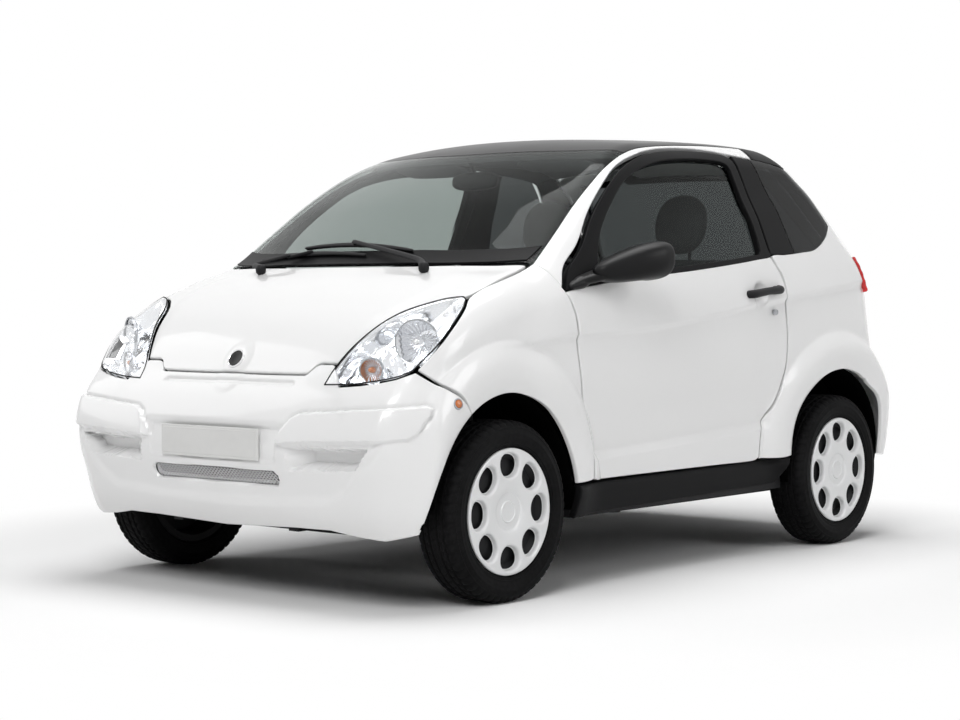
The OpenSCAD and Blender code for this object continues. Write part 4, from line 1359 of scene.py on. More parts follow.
@dataclass
class Upper:
    """Windscreen, roof, rails, pillars and quarter panels."""

    shop: Workshop
    frame: float = 26.0

    def windscreen(self) -> None:
        """The screen's glass with a black border fired on its inner face."""
        left = [(x - 0.5, y, z) for x, y, z in RAIL_IN[:7]]
        foot = [left[0], *SKIN.top_at(np.array([500.0, 250, 0]), np.array([147.0, 83, 62]))]
        top = [left[6], *SKIN.top_at(np.array([330.0, 0]), np.array([700.0, 650]))]
        s, t = graded(70, 1250, 10), graded(50, 750, 10)
        grid = patch(across(foot), across(top), left, flip(left), s, t)
        glass = Solid().shell(grid, 4.5, hem=2)
        self.shop.piece("windscreen_glass", glass, GLASS, "root", Slot.GLASS, ["windscreen"])
        self._border("windscreen_border", grid, (0.032, 0.075, 0.085), 5.2)
        x = np.array([620.0, 560, 500, 380, 250, 120, 0])
        y = np.array([209.0, 176, 149, 110, 85, 68, 64])
        rows = [across(SKIN.top_at(x, y + k)) for k in (0, 70)]
        cowl = ruled(*rows, graded(80, 1250, 3), graded(12, 70, 3))
        self.shop.piece("windscreen_cowl", Solid().shell(cowl, 4, 3.0, hem=2), PILLAR_BLACK,
                        "root", Slot.BLACK)

    def _border(self, name: str, grid: Points, width: tuple[float, float, float],
                depth: float) -> None:
        """A black band round a glass.

        Args:
            name: the piece's name.
            grid: the glass, s by t.
            width: shares of the sides, the foot and the top that it covers.
            depth: millimetres below the surface.
        """
        side, foot, top = width
        s = np.linspace(0, 1, grid.shape[0])
        t = np.linspace(0, 1, grid.shape[1])
        inner = self._resample(grid, side + (1 - 2 * side) * s, foot + (1 - top - foot) * t)
        outer_edge = border(grid - SKIN.normal(grid) * depth)
        inner_edge = border(inner - SKIN.normal(inner) * depth)
        share = np.linspace(0, 1, 5)[None, :, None]
        band = outer_edge[:, None] * (1 - share) + inner_edge[:, None] * share
        band = SKIN.onto(band)
        band = band - SKIN.normal(band) * depth
        low = band - SKIN.normal(band) * 2
        ring = np.concatenate([band, low[:, ::-1]], axis=1)
        self.shop.piece(name, Solid().sheet(ring, (True, True)), PILLAR_BLACK, "root",
                        Slot.BLACK, weld=True)

    def _resample(self, grid: Points, s: Points, t: Points) -> Points:
        """The grid read at other shares of its two directions, by straight steps."""
        a = np.linspace(0, 1, grid.shape[0])
        b = np.linspace(0, 1, grid.shape[1])
        rows = np.stack([[np.interp(s, a, grid[:, j, c]) for c in range(3)]
                         for j in range(grid.shape[1])], 1)
        out = np.stack([[np.interp(t, b, rows[c, :, i]) for c in range(3)]
                        for i in range(len(s))], 0)
        return SKIN.onto(np.moveaxis(out, 1, 2))

    def roof(self) -> None:
        """The black roof panel, and the head lining below it."""
        left = [(x - 1, y + 0.5, z) for x, y, z in RAIL_IN[6:]]
        foot = [left[0], *SKIN.top_at(np.array([330.0, 0]), np.array([700.5, 650.5]))]
        top = [left[-1], *SKIN.top_at(np.array([300.0, 0]), np.array([1740.0, 1740]))]
        s, t = graded(60, 1050, 6), graded(70, 1050, 6)
        grid = patch(across(foot), across(top), left, flip(left), s, t)
        self.shop.piece("roof_skin", Solid().shell(grid, PANEL, hem=3), ROOF_BLACK, "root",
                        Slot.ROOF, ["roof_panel"])
        self.shop.piece("head_lining", Solid().shell(grid[2:-2:2, 2:-2:2], 30, -14, hem=5),
                        LINING, "root", Slot.BLACK)

    def rail(self) -> None:
        """Roof rail and windscreen pillar in one white arch, dark inside the cabin."""
        s, t = graded(170, 1900, 4), graded(20, 70, 4)
        grid = ruled(on_side(RAIL_OUT), RAIL_IN, s, t)
        cut = int(np.argmax(grid[:, 0, 1] > 1512))
        rail = Solid().shell(grid[:cut + 1], 16, relief=RELIEF.none, hem=4)
        self.shop.pair("roof_rail_skin", rail, PAINT, ROOT, Slot.WHITE, ["roof_rail"])
        self.shop.pair("roof_rail_end", Solid().shell(grid[cut:], 16, hem=2), PILLAR_BLACK,
                       ROOT, Slot.BLACK)
        self.shop.pair("pillar_trim", Solid().shell(grid[2:-2:3, 2:-2:2], 27, -17, hem=3),
                       TRIM_BLACK, ROOT, Slot.BLACK)

    def quarter(self) -> None:
        """Rear quarter panel round the arch and up to the tailgate, with its lining."""
        outer = [*on_side(QUARTER_SIDE),
                 (665, 2130, 760), (668, 2085, 864), (670, 2066, 869), (671, 2050, 874),
                 (653, 2004, 1004),
                 *on_back([(591, 1008), (563, 1065), (527, 1167), (496, 1272)]),
                 (484, 1740.5, 1360)]
        s, t = graded(260, 2300, 5), graded(60, 260, 4)
        grid = ruled(on_side(QUARTER_IN), outer, s, t)
        skin = Solid().shell(grid, PANEL, relief=RELIEF.side, hem=3.5)
        self.shop.pair("quarter_skin", skin, PAINT, ROOT, Slot.WHITE, ["quarter_panel"])
        lining = Solid().shell(grid[100:-3:3, 3:-3:3], 27, -18, hem=4)
        self.shop.pair("quarter_lining", lining, TRIM_BLACK, ROOT, Slot.BLACK)

    def side_glass(self) -> None:
        """The dark rear side windows and the satin black posts in front of them."""
        foot = on_side([(1564, 1014), *((y, z + 0.5) for y, z in QUARTER_IN[12:16])])
        top = on_side([(y - 12, z - 0.5) for y, z in RAIL_OUT[11:14]])
        front = [foot[0], *on_side([(1527, 1180)]), top[0]]
        back = [foot[-1], *on_side([(1836, 1170), (1786, 1240)]), top[-1]]
        grid = patch(foot, top, front, back, graded(40, 250, 5), graded(40, 320, 5))
        self.shop.pair("quarter_window", Solid().shell(grid, 4.5, hem=3), DARK_GLASS, ROOT,
                       Slot.GLASS)
        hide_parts("quarter_glass")
        front = on_side([(1405, 1010), (1394, 1180), (1386, 1344)])
        back = on_side([(1562, 1012), (1525, 1180), (1487, 1337)])
        grid = ruled(front, back, graded(40, 340, 4), graded(20, 150, 4))
        self.shop.pair("door_post", Solid().shell(grid, self.frame, hem=3), PILLAR_BLACK, ROOT,
                       Slot.BLACK)
        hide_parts("b_pillars")

    def sill(self) -> None:
        """Black sills, tucked in towards the ground."""
        top = on_side([(326, 311), (700, 314), (1100, 315), (1500, 320)])
        foot = on_side([(310, 214), (700, 222), (1100, 230), (1440, 238)])
        tuck = Curve([(200, -10), (250, -3), (290, 0), (302, -2), (312, -9), (330, -12)])
        grid = ruled(foot, top, graded(60, 1150, 5), graded(24, 95, 5))
        skin = Solid().shell(grid, 22, relief=lambda p: tuck(p[..., 2]), hem=4)
        self.shop.pair("sill_skin", skin, SILL_BLACK, ROOT, Slot.BLACK)
        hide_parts("sills")

    def build(self) -> None:
        """Makes every fixed piece above the floor."""
        self.windscreen()
        self.roof()
        self.rail()
        self.quarter()
        self.side_glass()
        self.sill()


@dataclass
class Tail:
    """Tailgate, rear bumper, tail lamps and rear plate."""

    shop: Workshop
    frame: float = 26.0

    def _loop(self, half: Sequence) -> Points:
        """A closed line round the car's middle from its left half, bottom to top."""
        half = np.asarray(half, float)
        return np.concatenate([half, flip(half[1:-1])[::-1], half[:1]])

    def tailgate(self) -> None:
        """The tailgate: a ring between its outline and its window."""
        outer = on_back([(0, 698), (300, 698), (540, 706), *HATCH_SIDE, (300, 1357), (0, 1368)])
        inner = on_back([(0, 960), (280, 960), (460, 966), *HATCH_WINDOW, (250, 1308), (0, 1314)])
        s = np.linspace(0, 1, 221)[:-1]
        grid = ruled(self._loop(outer), self._loop(inner), s, graded(40, 200, 5))
        skin = Solid().shell(grid, self.frame, relief=RELIEF.hatch, hem=4, closed=True)
        self.shop.piece("tailgate_skin", skin, PAINT, "tailgate", Slot.WHITE, ["tailgate"])
        side = on_back([(x + 10, z) for x, z in HATCH_WINDOW[1:6]])
        left = [*on_back([(500, 952)]), *side, *on_back([(400, 1316)])]
        grid = ruled(left, flip(left), np.linspace(0, 1, 40), np.linspace(0, 1, 50))
        glass = Solid().shell(grid, self.frame + 5, -self.frame - 0.5, hem=1)
        self.shop.piece("tailgate_window", glass, DARK_GLASS, "tailgate", Slot.GLASS,
                        ["tailgate_glass"])

    def bumper(self) -> None:
        """The rear bumper, wrapped from arch to arch."""
        top = [(667, 2087, 868),
               *on_back([(602, 868), (587, 775), (545, 693), (300, 688), (0, 688)])]
        foot = [(706, 2098, 296), (640, 2190, 292), (350, 2240, 290), (0, 2252, 290)]
        side = [*on_side([(2098, 296), (2088, 420), (2042, 520), (1968, 582), (2025, 626),
                          (2085, 686)]), (664, 2134, 764), top[0]]
        s, t = graded(220, 1700, 5), graded(70, 420, 5)
        grid = patch(across(foot), across(top), side, flip(side), s, t)
        skin = Solid().shell(grid, PANEL, relief=RELIEF.tail, hem=4)
        self.shop.piece("rear_bumper_skin", skin, PAINT, "root", Slot.WHITE, ["rear_bumper"])

    def lamps(self) -> None:
        """Red lenses round the rear corners."""
        a = [(670, 2054, 872), (667, 2047, 930), (654, 2008, 998)]
        b = on_back([(602, 872), (599, 930), (594, 1000)])
        grid = ruled(a, b, graded(40, 140, 3), graded(30, 90, 3))
        lens = Solid().shell(grid, 30, 8.0, relief=lambda p: 1.5 * np.sin(p[..., 2] / 9) ** 2,
                             hem=7)
        self.shop.pair("tail_lamp", lens, RED_LENS, ROOT, Slot.RED)
        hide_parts("tail_lights")

    def plate(self) -> None:
        """A blank plate in the bumper's recess."""
        y = float(SKIN.back_at(0, 520)[1]) - 10
        half, high = PLATE_HALF
        solid = Solid().block((-half, y, 520 - high), (half, y + 4, 520 + high))
        half, high = half - 9, high - 8
        solid.block((-half, y + 3, 520 - high), (half, y + 5, 520 + high))
        piece = self.shop.piece("rear_plate", solid, PLATE, "root", Slot.PLATE, bevel=1.2)
        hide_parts("number_plates")

    def build(self) -> None:
        """Makes every piece of the tail."""
        self.tailgate()
        self.bumper()
        self.lamps()
        self.plate()


@dataclass
class Door:
    """Both doors: white skin, black window frame, glass, lining, mirror and handle."""

    shop: Workshop
    deep: float = 50.0
    outer: tuple = ((258, 889), (300, 950), (387, 1018), (486, 1115), (595, 1200), (707, 1268),
                    (830, 1313), (960, 1338), (1100, 1349), (1240, 1350), (1330, 1345),
                    (1368, 1332), (1380, 1290), (1387, 1180), (1394, 1040), (1397, 1001),
                    (1300, 989), (1150, 973), (961, 956), (733, 937), (488, 915), (350, 900))
    inner: tuple = ((440, 931), (434, 946), (448, 985), (500, 1068), (600, 1160), (714, 1237),
                    (841, 1284), (966, 1309), (1100, 1320), (1225, 1322), (1293, 1318),
                    (1328, 1302), (1335, 1255), (1341, 1160), (1347, 1050), (1334, 1011),
                    (1280, 1004), (1150, 990), (961, 973), (733, 954), (520, 934), (460, 929))

    def skin(self) -> None:
        """The door below its window, and the lining inside it."""
        foot = on_side([DOOR_FRONT[0], (430, 322), (600, 322), (850, 322), (1100, 322),
                        (1290, 322), DOOR_BACK[0]])
        s, t = graded(170, 1050, 4), graded(110, 620, 4)
        grid = patch(foot, on_side(BELT), on_side(DOOR_FRONT), on_side(DOOR_BACK), s, t)
        skin = Solid().shell(grid, PANEL, relief=RELIEF.door, hem=3.5)
        self.shop.pair("door_skin", skin, PAINT, DOORS, Slot.WHITE, ["door"])
        lining = Solid().shell(grid[3:-3:3, 3:-3:3], self.deep, -19, hem=8)
        self.shop.pair("door_lining", lining, DASH, DOORS, Slot.BLACK)

    def window(self) -> None:
        """The black window frame and the glass."""
        a, b = on_side([*self.outer, self.outer[0]]), on_side([*self.inner, self.inner[0]])
        s = np.linspace(0, 1, 353)[:-1]
        grid = ruled(a, b, s, graded(14, 42, 3))
        frame = Solid().shell(grid, 25, hem=3, closed=True)
        self.shop.pair("window_frame", frame, PILLAR_BLACK, DOORS, Slot.BLACK)
        foot = on_side([(445, 922), (640, 930), (910, 960), (1330, 1006)])
        top = on_side([(432, 950), (512, 1091), (720, 1242), (960, 1306), (1238, 1318),
                       (1338, 1304)])
        grid = ruled(foot, top, np.linspace(0, 1, 50), np.linspace(0, 1, 24))
        self.shop.pair("door_window", Solid().shell(grid, 17.5, -13, hem=1), GLASS, DOORS,
                       Slot.GLASS, ["door_glass"])

    def mirror(self) -> None:
        """A long black mirror housing that grows out of the window's front corner."""
        v = np.linspace(0, 1, 40)
        y = 352 + 226 * v
        cx = 768 + 52 * step(0, 0.85, v)
        cz = 944 + 32 * step(0, 0.9, v)
        half = 74 * np.sqrt(np.clip(1 - (1 - v) ** 2.2, 0, 1)) * (0.92 + 0.08 * v)
        high = 57 * np.sqrt(np.clip(1 - (1 - v) ** 1.9, 0, 1))
        shrink = np.where(v > 0.93, np.sqrt(np.clip(1 - ((v - 0.93) / 0.07) ** 2 * 0.55, 0, 1)), 1)
        a = np.linspace(0, 2 * np.pi, 56, endpoint=False)[:, None]
        c, s = np.cos(a), np.sin(a)
        p = 2 / 2.7
        x = cx + half * shrink * rounded(c, p)
        z = cz + high * shrink * rounded(s, p) + 0.12 * (x - cx)
        grid = np.stack([x, np.broadcast_to(y + 0.12 * (x - cx), x.shape), z], -1)
        end = grid[:, -1].mean(0)
        rim = grid[:, -1] + (end - grid[:, -1]) * 0.07
        face = rim + (0, -9, 0)
        cup = np.stack([grid[:, -1], rim, face, np.broadcast_to(face.mean(0), face.shape)], 1)
        housing = Solid().sheet(np.concatenate([grid, cup], 1), (True, False))
        glass = np.stack([face + (end - rim) * 0.02 + (0, 2.5, 0),
                          np.broadcast_to(face.mean(0) + (0, 2.5, 0), face.shape)], 1)
        base = Solid().tube([(716, 300, 905), (738, 350, 921), (772, 400, 936), (800, 450, 950)],
                            (20, 24, 27, 30), 24, 24, 0.62, (0, 0, 1))
        base.tube([(722, 285, 899), (722, 330, 912), (716, 400, 934)], (10, 20, 15), 16, 16, 1.5,
                  (1, 0, 0))
        self.shop.pair("mirror_housing", housing.joined(base), MIRROR_BLACK, DOORS, Slot.BLACK,
                       ["mirror"], weld=True)
        self.shop.pair("mirror_glass", Solid().sheet(glass, (True, False)), MIRROR_GLASS, DOORS,
                       Slot.LAMP, weld=True)

    def handle(self) -> None:
        """A black pull bar across the scoop, and a lock below it."""
        h = SKIN.side_at(np.array([1212.0, 1405.0]), np.array([875.0, 893.0]))
        line = [h[0] + (-2, 0, 0), h[0] + (15, 16, 2), h[0] * 0.5 + h[1] * 0.5 + (20, 0, 2),
                h[1] + (16, -18, -3), h[1] + (-2, 0, 0)]
        bar = Solid().tube(line, (13, 14, 12.5, 14, 13.5), 20, 48, 1.0, (1, 0, 0))
        bar.mound(h[1] + (10, -22, -3), (15, 26, 14), 3.0, 32)
        bar.mound(h[0] + (9, 10, 2), (12, 18, 12.5), 2.8, 32)
        self.shop.pair("door_handle", bar, TRIM_BLACK, DOORS, Slot.BLACK, weld=True)
        at = SKIN.side_at(1378.0, 816.0)
        barrel = [(0, 2), (5, 2.2), (6, 1.5), (6.3, 3), (8.6, 2.6), (9.4, 0), (9.4, -8)]
        lock = Solid().lathe(barrel, at, 32, SKIN.normal(at))
        self.shop.pair("door_lock", lock, BEZEL, DOORS, Slot.LAMP, weld=True)

    def build(self) -> None:
        """Makes every piece of the doors."""
        self.skin()
        self.window()
        self.mirror()
        self.handle()


@dataclass
class Wheel:
    """A tyre on a dark steel wheel, with a silver-white cover of eight holes."""

    shop: Workshop
    holes: int = 8
    hole_r: float = 132.0
    half_r: float = 35.0
    half_t: float = 42.0
    power: float = 2.2
    inner_r: float = 58.0
    outer_r: float = 172.0
    side: int = 24
    phase: float = 90.0
    tyre_r: float = TYRE_RADIUS
    edge_r: float = 8.0
    blocks: int = 56
    grooves: tuple[float, float] = (15.0, 37.0)
    groove_deep: float = 6.0

    def polar(self, r: Points, a: Points, h: Points) -> Points:
        """Points from radius, angle and place along the axle, outwards."""
        r, a, h = np.broadcast_arrays(r, a, h)
        return np.stack([h, r * np.cos(a), r * np.sin(a)], -1)

    def turned(self, profile: Sequence, count: int) -> Points:
        """Grid of a profile of radius and place turned round the axle."""
        r, h = np.array(profile, float).T
        a = np.arange(count) * 2 * np.pi / count + math.radians(self.phase)
        return self.polar(r[:, None], a[None], h[:, None])

    def face(self, r: Points) -> Points:
        """Height of the cover's face at a radius: a shallow dish."""
        return Curve([(50, 59), (62, 62.5), (95, 66.5), (140, 68.5), (172, 67.5)])(r)

    def sector(self, number: int) -> Points:
        """One eighth of the cover's face, as rings between its border and its hole.

        The hole is |x/a|^2.2 + |y/b|^2.2 = 1, with b a little wider outwards, and
        its edge rolls in on a radius of 8 mm.
        """
        wide, n = 2 * np.pi / self.holes, self.side
        k = np.arange(n) / n
        r = np.concatenate([self.inner_r + (self.outer_r - self.inner_r) * k,
                            np.full(n, self.outer_r),
                            self.outer_r - (self.outer_r - self.inner_r) * k,
                            np.full(n, self.inner_r)])
        a = np.concatenate([np.full(n, -0.5), k - 0.5, np.full(n, 0.5), 0.5 - k]) * wide
        rim = np.column_stack([r * np.cos(a), r * np.sin(a)])
        to = rim - (self.hole_r, 0)
        turn = np.arctan2(to[:, 1], to[:, 0])
        half_t = self.half_t * (1 + 0.12 * np.cos(turn))
        rho = (np.abs(np.cos(turn) / self.half_r) ** self.power
               + np.abs(np.sin(turn) / half_t) ** self.power) ** (-1 / self.power)
        hole = np.column_stack([self.hole_r + rho * np.cos(turn), rho * np.sin(turn)])
        gap = np.linalg.norm(rim - hole, axis=1)
        t = np.array([0, 0.3, 0.6])
        t = np.concatenate([np.broadcast_to(t, (len(gap), 3)),
                            1 - np.array([8, 6, 4, 2.3, 1.0, 0.15]) / gap[:, None]], 1)
        p = rim[:, None] * (1 - t[..., None]) + hole[:, None] * t[..., None]
        short = np.clip(self.edge_r - (1 - t) * gap[:, None], 0, self.edge_r)
        drop = self.edge_r - np.sqrt(self.edge_r**2 - short**2)
        r, a = np.linalg.norm(p, axis=-1), np.arctan2(p[..., 1], p[..., 0])
        h = self.face(r) - drop
        for low, draw in ((12, 0.99), (18, 0.97), (18, 0.9)):
            q = np.array([self.hole_r, 0]) + (hole - (self.hole_r, 0)) * draw
            r = np.column_stack([r, np.linalg.norm(q, axis=1)])
            a = np.column_stack([a, np.arctan2(q[:, 1], q[:, 0])])
            h = np.column_stack([h, self.face(r[:, -1]) - low])
        return self.polar(r, a + number * wide + math.radians(self.phase), h)

    def cover(self) -> Solid:
        """The whole cover: hub disc, eight sectors and the rolled rim."""
        solid = Solid()
        for k in range(self.holes):
            solid.sheet(self.sector(k), (True, False))
        count = self.holes * self.side
        half = math.pi / self.holes
        hub = [(58, float(self.face(58.0))), (55.5, 60), (53.5, 57.5), (51, 57), (42, 57.8),
               (33, 58.2), (31.5, 60.6), (28.5, 60.8), (27, 58.5), (12, 58.8), (0, 59)]
        rim = [(172, float(self.face(172.0))), (175, 67.6), (178, 67), (180.5, 65), (181.5, 62),
               (181, 59.5), (178, 58), (172, 57)]
        for profile in (hub, rim):
            grid = self.turned(profile, count)
            a = -half
            turn = np.array([[1, 0, 0], [0, math.cos(a), math.sin(a)],
                             [0, -math.sin(a), math.cos(a)]])
            solid.sheet(grid @ turn, (False, True))
        return solid

    def disc(self) -> Solid:
        """The steel wheel behind the cover, with its barrel and both flanges."""
        loop = [(0, 24), (58, 26), (62, 34), (110, 40), (150, 34), (160, 44), (171, 50.5),
                (176, 56), (184, 56), (184, 53.5), (172, 50.5), (168, 20), (160, 0), (168, -30),
                (172, -50.5), (184, -53.5), (184, -58.5), (163, -58.5), (155, 0), (150, 22),
                (60, 10), (0, 8)]
        return Solid().sheet(self.turned(loop, 96), (False, True))

    def tyre(self) -> Solid:
        """The tyre: a closed profile with ribs, grooves and shoulder blocks.

        Grooves sink the tread by 6 exp(-((|h| - c) / 3.4)^4) round each c in
        grooves, and each shoulder has slots where cos(blocks a) is high.
        """
        half = [(172.4, 50.1), (178, 51.6), (184.5, 53.1), (184.6, 59.2), (188, 63.5),
                (192, 66), (194, 66.2), (195, 68.5), (197, 68.6), (199, 68.2), (205, 71),
                (212, 72.3), (219, 72.5), (221, 73.3), (223, 73.3), (225, 72.2), (232, 71),
                (238, 69.4), (239, 70.2), (241, 69.8), (242.5, 68.2), (247, 66), (251, 63.4),
                (254.5, 60), (257, 56), (258.6, 52), (259.6, 48)]
        tread = np.linspace(46, -46, 93)
        crown = self.tyre_r - 1.2 * (tread / 48) ** 2
        r = np.concatenate([[p[0] for p in half], crown, [p[0] for p in half[::-1]]])
        h = np.concatenate([[p[1] for p in half], tread, [-p[1] for p in half[::-1]]])
        count = 336
        a = np.arange(count) * 2 * np.pi / count
        r, h, a = np.broadcast_arrays(r[:, None], h[:, None], a[None])
        far = np.abs(h)
        groove = sum(self.groove_deep * np.exp(-((far - c) / 3.4) ** 4) for c in self.grooves)
        slot = step(0.45, 0.75, np.cos(self.blocks * a + np.sign(h) * 0.9 + far * 0.035))
        slot = slot * step(40, 42, far) * step(68.5, 66, far) * step(240, 246, r) * 4.2
        sipe = step(0.75, 0.9, np.cos(self.blocks * a + h * 0.12)) * step(13, 11, far) * 2.5
        mid = step(0.6, 0.85, np.cos(self.blocks * a - h * 0.1)) * step(18, 20, far)
        mid = mid * step(35, 33, far) * 3
        sunk = np.maximum.reduce([groove * (r > 250), slot, sipe, mid])
        way = np.clip((far - 50) / 22, 0, 1) * 0.6
        grid = self.polar(r - sunk * (1 - way), a, h - np.sign(h) * sunk * way)
        grid = np.concatenate([grid, grid[:1]])
        return Solid().sheet(grid, (False, True))

    def build(self) -> None:
        """Makes the four wheels."""
        parts = (("cover", self.cover(), COVER, Slot.COVER, True, 30.0),
                 ("steel", self.disc(), STEEL_BLACK, Slot.COVER, True, 38.0),
                 ("tread", self.tyre(), RUBBER, Slot.TYRE, True, 45.0))
        for place, y in (("front", 0.0), ("rear", REAR_AXLE)):
            for kind, solid, finish, slot, weld, sharp in parts:
                moved = Solid([p + (HUB_X, y, self.tyre_r) for p in solid.points], solid.faces,
                              solid.count)
                nodes = {"cover": "wheel", "tread": "tyre"}.get(kind)
                bodies = (f"wheel_{place}_left", f"wheel_{place}_right")
                self.shop.pair(f"{kind}_{place}", moved, finish, bodies, slot,
                               [f"{nodes}_{place}"] if nodes else [], weld=weld, sharp=sharp)


@dataclass
class Wipers:
    """Two black wipers parked on the windscreen."""

    shop: Workshop
    sets: tuple = (((366, 41), (288, 84), (-12, 150), (-245, 165), (230, 141)),
                   ((-315, 30), (-365, 66), (-262, 108), (-423, 145), (67, 105)))

    def above(self, keys: Sequence, lift: float) -> Points:
        """Points over the glass from pairs of x and y, lift millimetres off it."""
        x, y = np.array(keys, float).T
        p = SKIN.top_at(x, y)
        return p + SKIN.normal(p) * lift

    def build(self) -> None:
        """Makes each wiper: pivot and cap, sprung arm, bridge, blade and rubber."""
        solid, rubber = Solid(), Solid()
        for pivot, elbow, grip, end, start in self.sets:
            foot = self.above([pivot], 14.0)[0]
            solid.mound(foot, (15, 15, 17), 2.6, 32)
            arm = np.concatenate([self.above([pivot], 22.0), self.above([elbow], 24.0),
                                  self.above([grip], 25.0)])
            solid.tube(arm, (12, 10, 8), 12, 40, 0.6, (0, -0.6, 0.8))
            line = [tuple(np.array(start) * (1 - k) + np.array(end) * k)
                    for k in np.linspace(0, 1, 9)]
            blade = self.above(line, 10.0)
            solid.tube(blade, (5, 6.5, 7.5, 8.5, 9, 8.5, 7.5, 6.5, 5), 10, 60, 0.7, (0, -0.6, 0.8))
            joint = self.above([grip, tuple(np.mean([start, end], axis=0))], 17.0)
            solid.tube(joint, (6, 7), 10, 8, 0.8, (1, 0, 0))
            rubber.tube(self.above(line, 4.0), 2.6, 8, 60, 1.4, (0, -0.6, 0.8))
        self.shop.piece("wiper_arms", solid, TRIM_BLACK, "root", Slot.BLACK, ["wipers"], weld=True)
        self.shop.piece("wiper_rubbers", rubber, SEAL_BLACK, "root", Slot.BLACK, weld=True)


@dataclass
class Cabin:
    """Seats, dashboard, mirror and carpet, as seen through the glass."""

    shop: Workshop
    seat_x: float = 300.0
    seat_y: float = 1098.0
    seat_z: float = 368.0
    back_z: float = 505.0
    voxel: float = 0.011

    def swollen(self, name: str, solid: Solid, cap: float) -> bpy.types.Mesh:
        """A closed pad blown up by a cloth simulation.

        Args:
            name: name of the mesh.
            solid: the pad before it swells, a little small.
            cap: the furthest that a point may move, in millimetres.
        Returns:
            The mesh.
        """
        mesh = self.shop.mesh(name, solid, True)
        obj = bpy.data.objects.new(name + "_work", mesh)
        bpy.context.scene.collection.objects.link(obj)
        net = obj.modifiers.new("net", "REMESH")
        net.mode, net.voxel_size = "VOXEL", self.voxel
        graph = bpy.context.evaluated_depsgraph_get()
        fine = bpy.data.meshes.new_from_object(obj.evaluated_get(graph))
        obj.modifiers.clear()
        obj.data = fine
        start = self.places(fine)
        cloth = obj.modifiers.new("cloth", "CLOTH")
        cloth.settings.use_pressure = True
        cloth.settings.uniform_pressure_force = 4.0
        cloth.settings.effector_weights.gravity = 0.0
        cloth.settings.quality = 5
        for frame in range(1, 21):
            bpy.context.scene.frame_set(frame)
        graph = bpy.context.evaluated_depsgraph_get()
        moved = self.places(obj.evaluated_get(graph).data) - start
        far = np.linalg.norm(moved, axis=1, keepdims=True)
        moved *= np.minimum(1, cap / 1000 / np.maximum(far, 1e-9))
        obj.modifiers.clear()
        fine.vertices.foreach_set("co", (start + moved).astype(np.float32).ravel())
        fine.update()
        bpy.context.scene.frame_set(1)
        bpy.data.objects.remove(obj)
        fine.name = name
        return fine

    def places(self, mesh: bpy.types.Mesh) -> Points:
        """The mesh's vertices in metres."""
        co = np.empty(len(mesh.vertices) * 3, np.float32)
        mesh.vertices.foreach_get("co", co)
        return co.reshape(-1, 3).astype(float)

    def cushion(self) -> Solid:
        """Seat cushion: a rounded slab with raised sides and a dip to sit in."""
        x = np.linspace(-1, 1, 41)[:, None]
        a = np.linspace(0, 2 * np.pi, 64, endpoint=False)[None]
        y = self.seat_y + 232 * rounded(np.cos(a), 0.55)
        z = self.seat_z + 118 * rounded(np.sin(a), 0.55)
        squeeze = np.sqrt(np.clip(1 - np.abs(x) ** 6, 0, 1))
        rise = 24 * step(0.55, 0.9, np.abs(x)) - 8
        lift = np.where(z > self.seat_z, rise, 0) * squeeze
        z = self.seat_z + (z - self.seat_z) * squeeze + lift
        y = self.seat_y + (y - self.seat_y) * (0.9 + 0.1 * squeeze)
        return self._loft(x * 212, y, z)

    def backrest(self) -> Solid:
        """Seat back: leaning, with side wings and a hollow for the back."""
        v = np.linspace(-1, 1, 41)[:, None]
        a = np.linspace(0, 2 * np.pi, 64, endpoint=False)[None]
        rise = 0.5 + 0.5 * rounded(np.sin(a), 0.45)
        z = self.back_z + 500 * rise
        lean = 1335 + (z - self.back_z) * 0.235
        squeeze = np.sqrt(np.clip(1 - np.abs(v) ** 6, 0, 1))
        thick = 52 * rounded(np.cos(a), 0.5) * squeeze
        wing = -26 * step(0.5, 0.9, np.abs(v)) * (np.cos(a) < 0) * squeeze
        narrow = 1 - 0.12 * step(760, 1005, z)
        middle = self.back_z + 250
        z = middle + (z - middle) * (0.93 + 0.07 * squeeze)
        return self._loft(v * 214 * narrow, lean + thick + wing, z)

    def _loft(self, x: Points, y: Points, z: Points) -> Solid:
        """A closed shape from rows across the seat, on the left seat."""
        x, y, z = np.broadcast_arrays(x + self.seat_x, y, z)
        return loft(np.stack([x, y, z], -1))

    def seats(self) -> None:
        """Both seats: swollen cushion, back and round headrest, with headrest posts and seat
        rails.
        """
        rest = Solid().mound((self.seat_x, 1456, 1118), (106, 36, 106), 2.3, 64, -10)
        parts = (("cushion", self.cushion(), CLOTH, 9.0, 0.6),
                 ("backrest", self.backrest(), CLOTH, 9.0, 0.6),
                 ("headrest", rest, BOLSTER, 6.0, 0.8))
        first = True
        for name, solid, finish, cap, fill in parts:
            mesh = self.swollen(f"seat_{name}_mesh", solid, cap)
            for side in (1, -1):
                copy = mesh.copy()
                co = self.places(copy)
                co[:, 0] += (side - 1) * self.seat_x / 1000
                copy.vertices.foreach_set("co", co.astype(np.float32).ravel())
                label = f"seat_{name}_{'left' if side > 0 else 'right'}"
                pad = self.shop.piece(label, copy, finish, "root", Slot.CLOTH,
                                      ["seats"] if first else (), smooth=1, sharp=180.0)
                first = False
        trim = Solid()
        for side in (1, -1):
            x = side * self.seat_x
            for post in (-38, 38):
                trim.tube([(x + post, 1452, 985), (x + post, 1456, 1040)], 6, 12, 6, 1, (1, 0, 0))
            for rail in (-170, 170):
                trim.extrude([(880, 231), (1330, 231), (1330, 262), (880, 262)], x + rail - 14,
                             x + rail + 14)
        self.shop.piece("seat_frames", trim, STEEL_BLACK, "root", Slot.STEEL, bevel=1.5, weld=True)

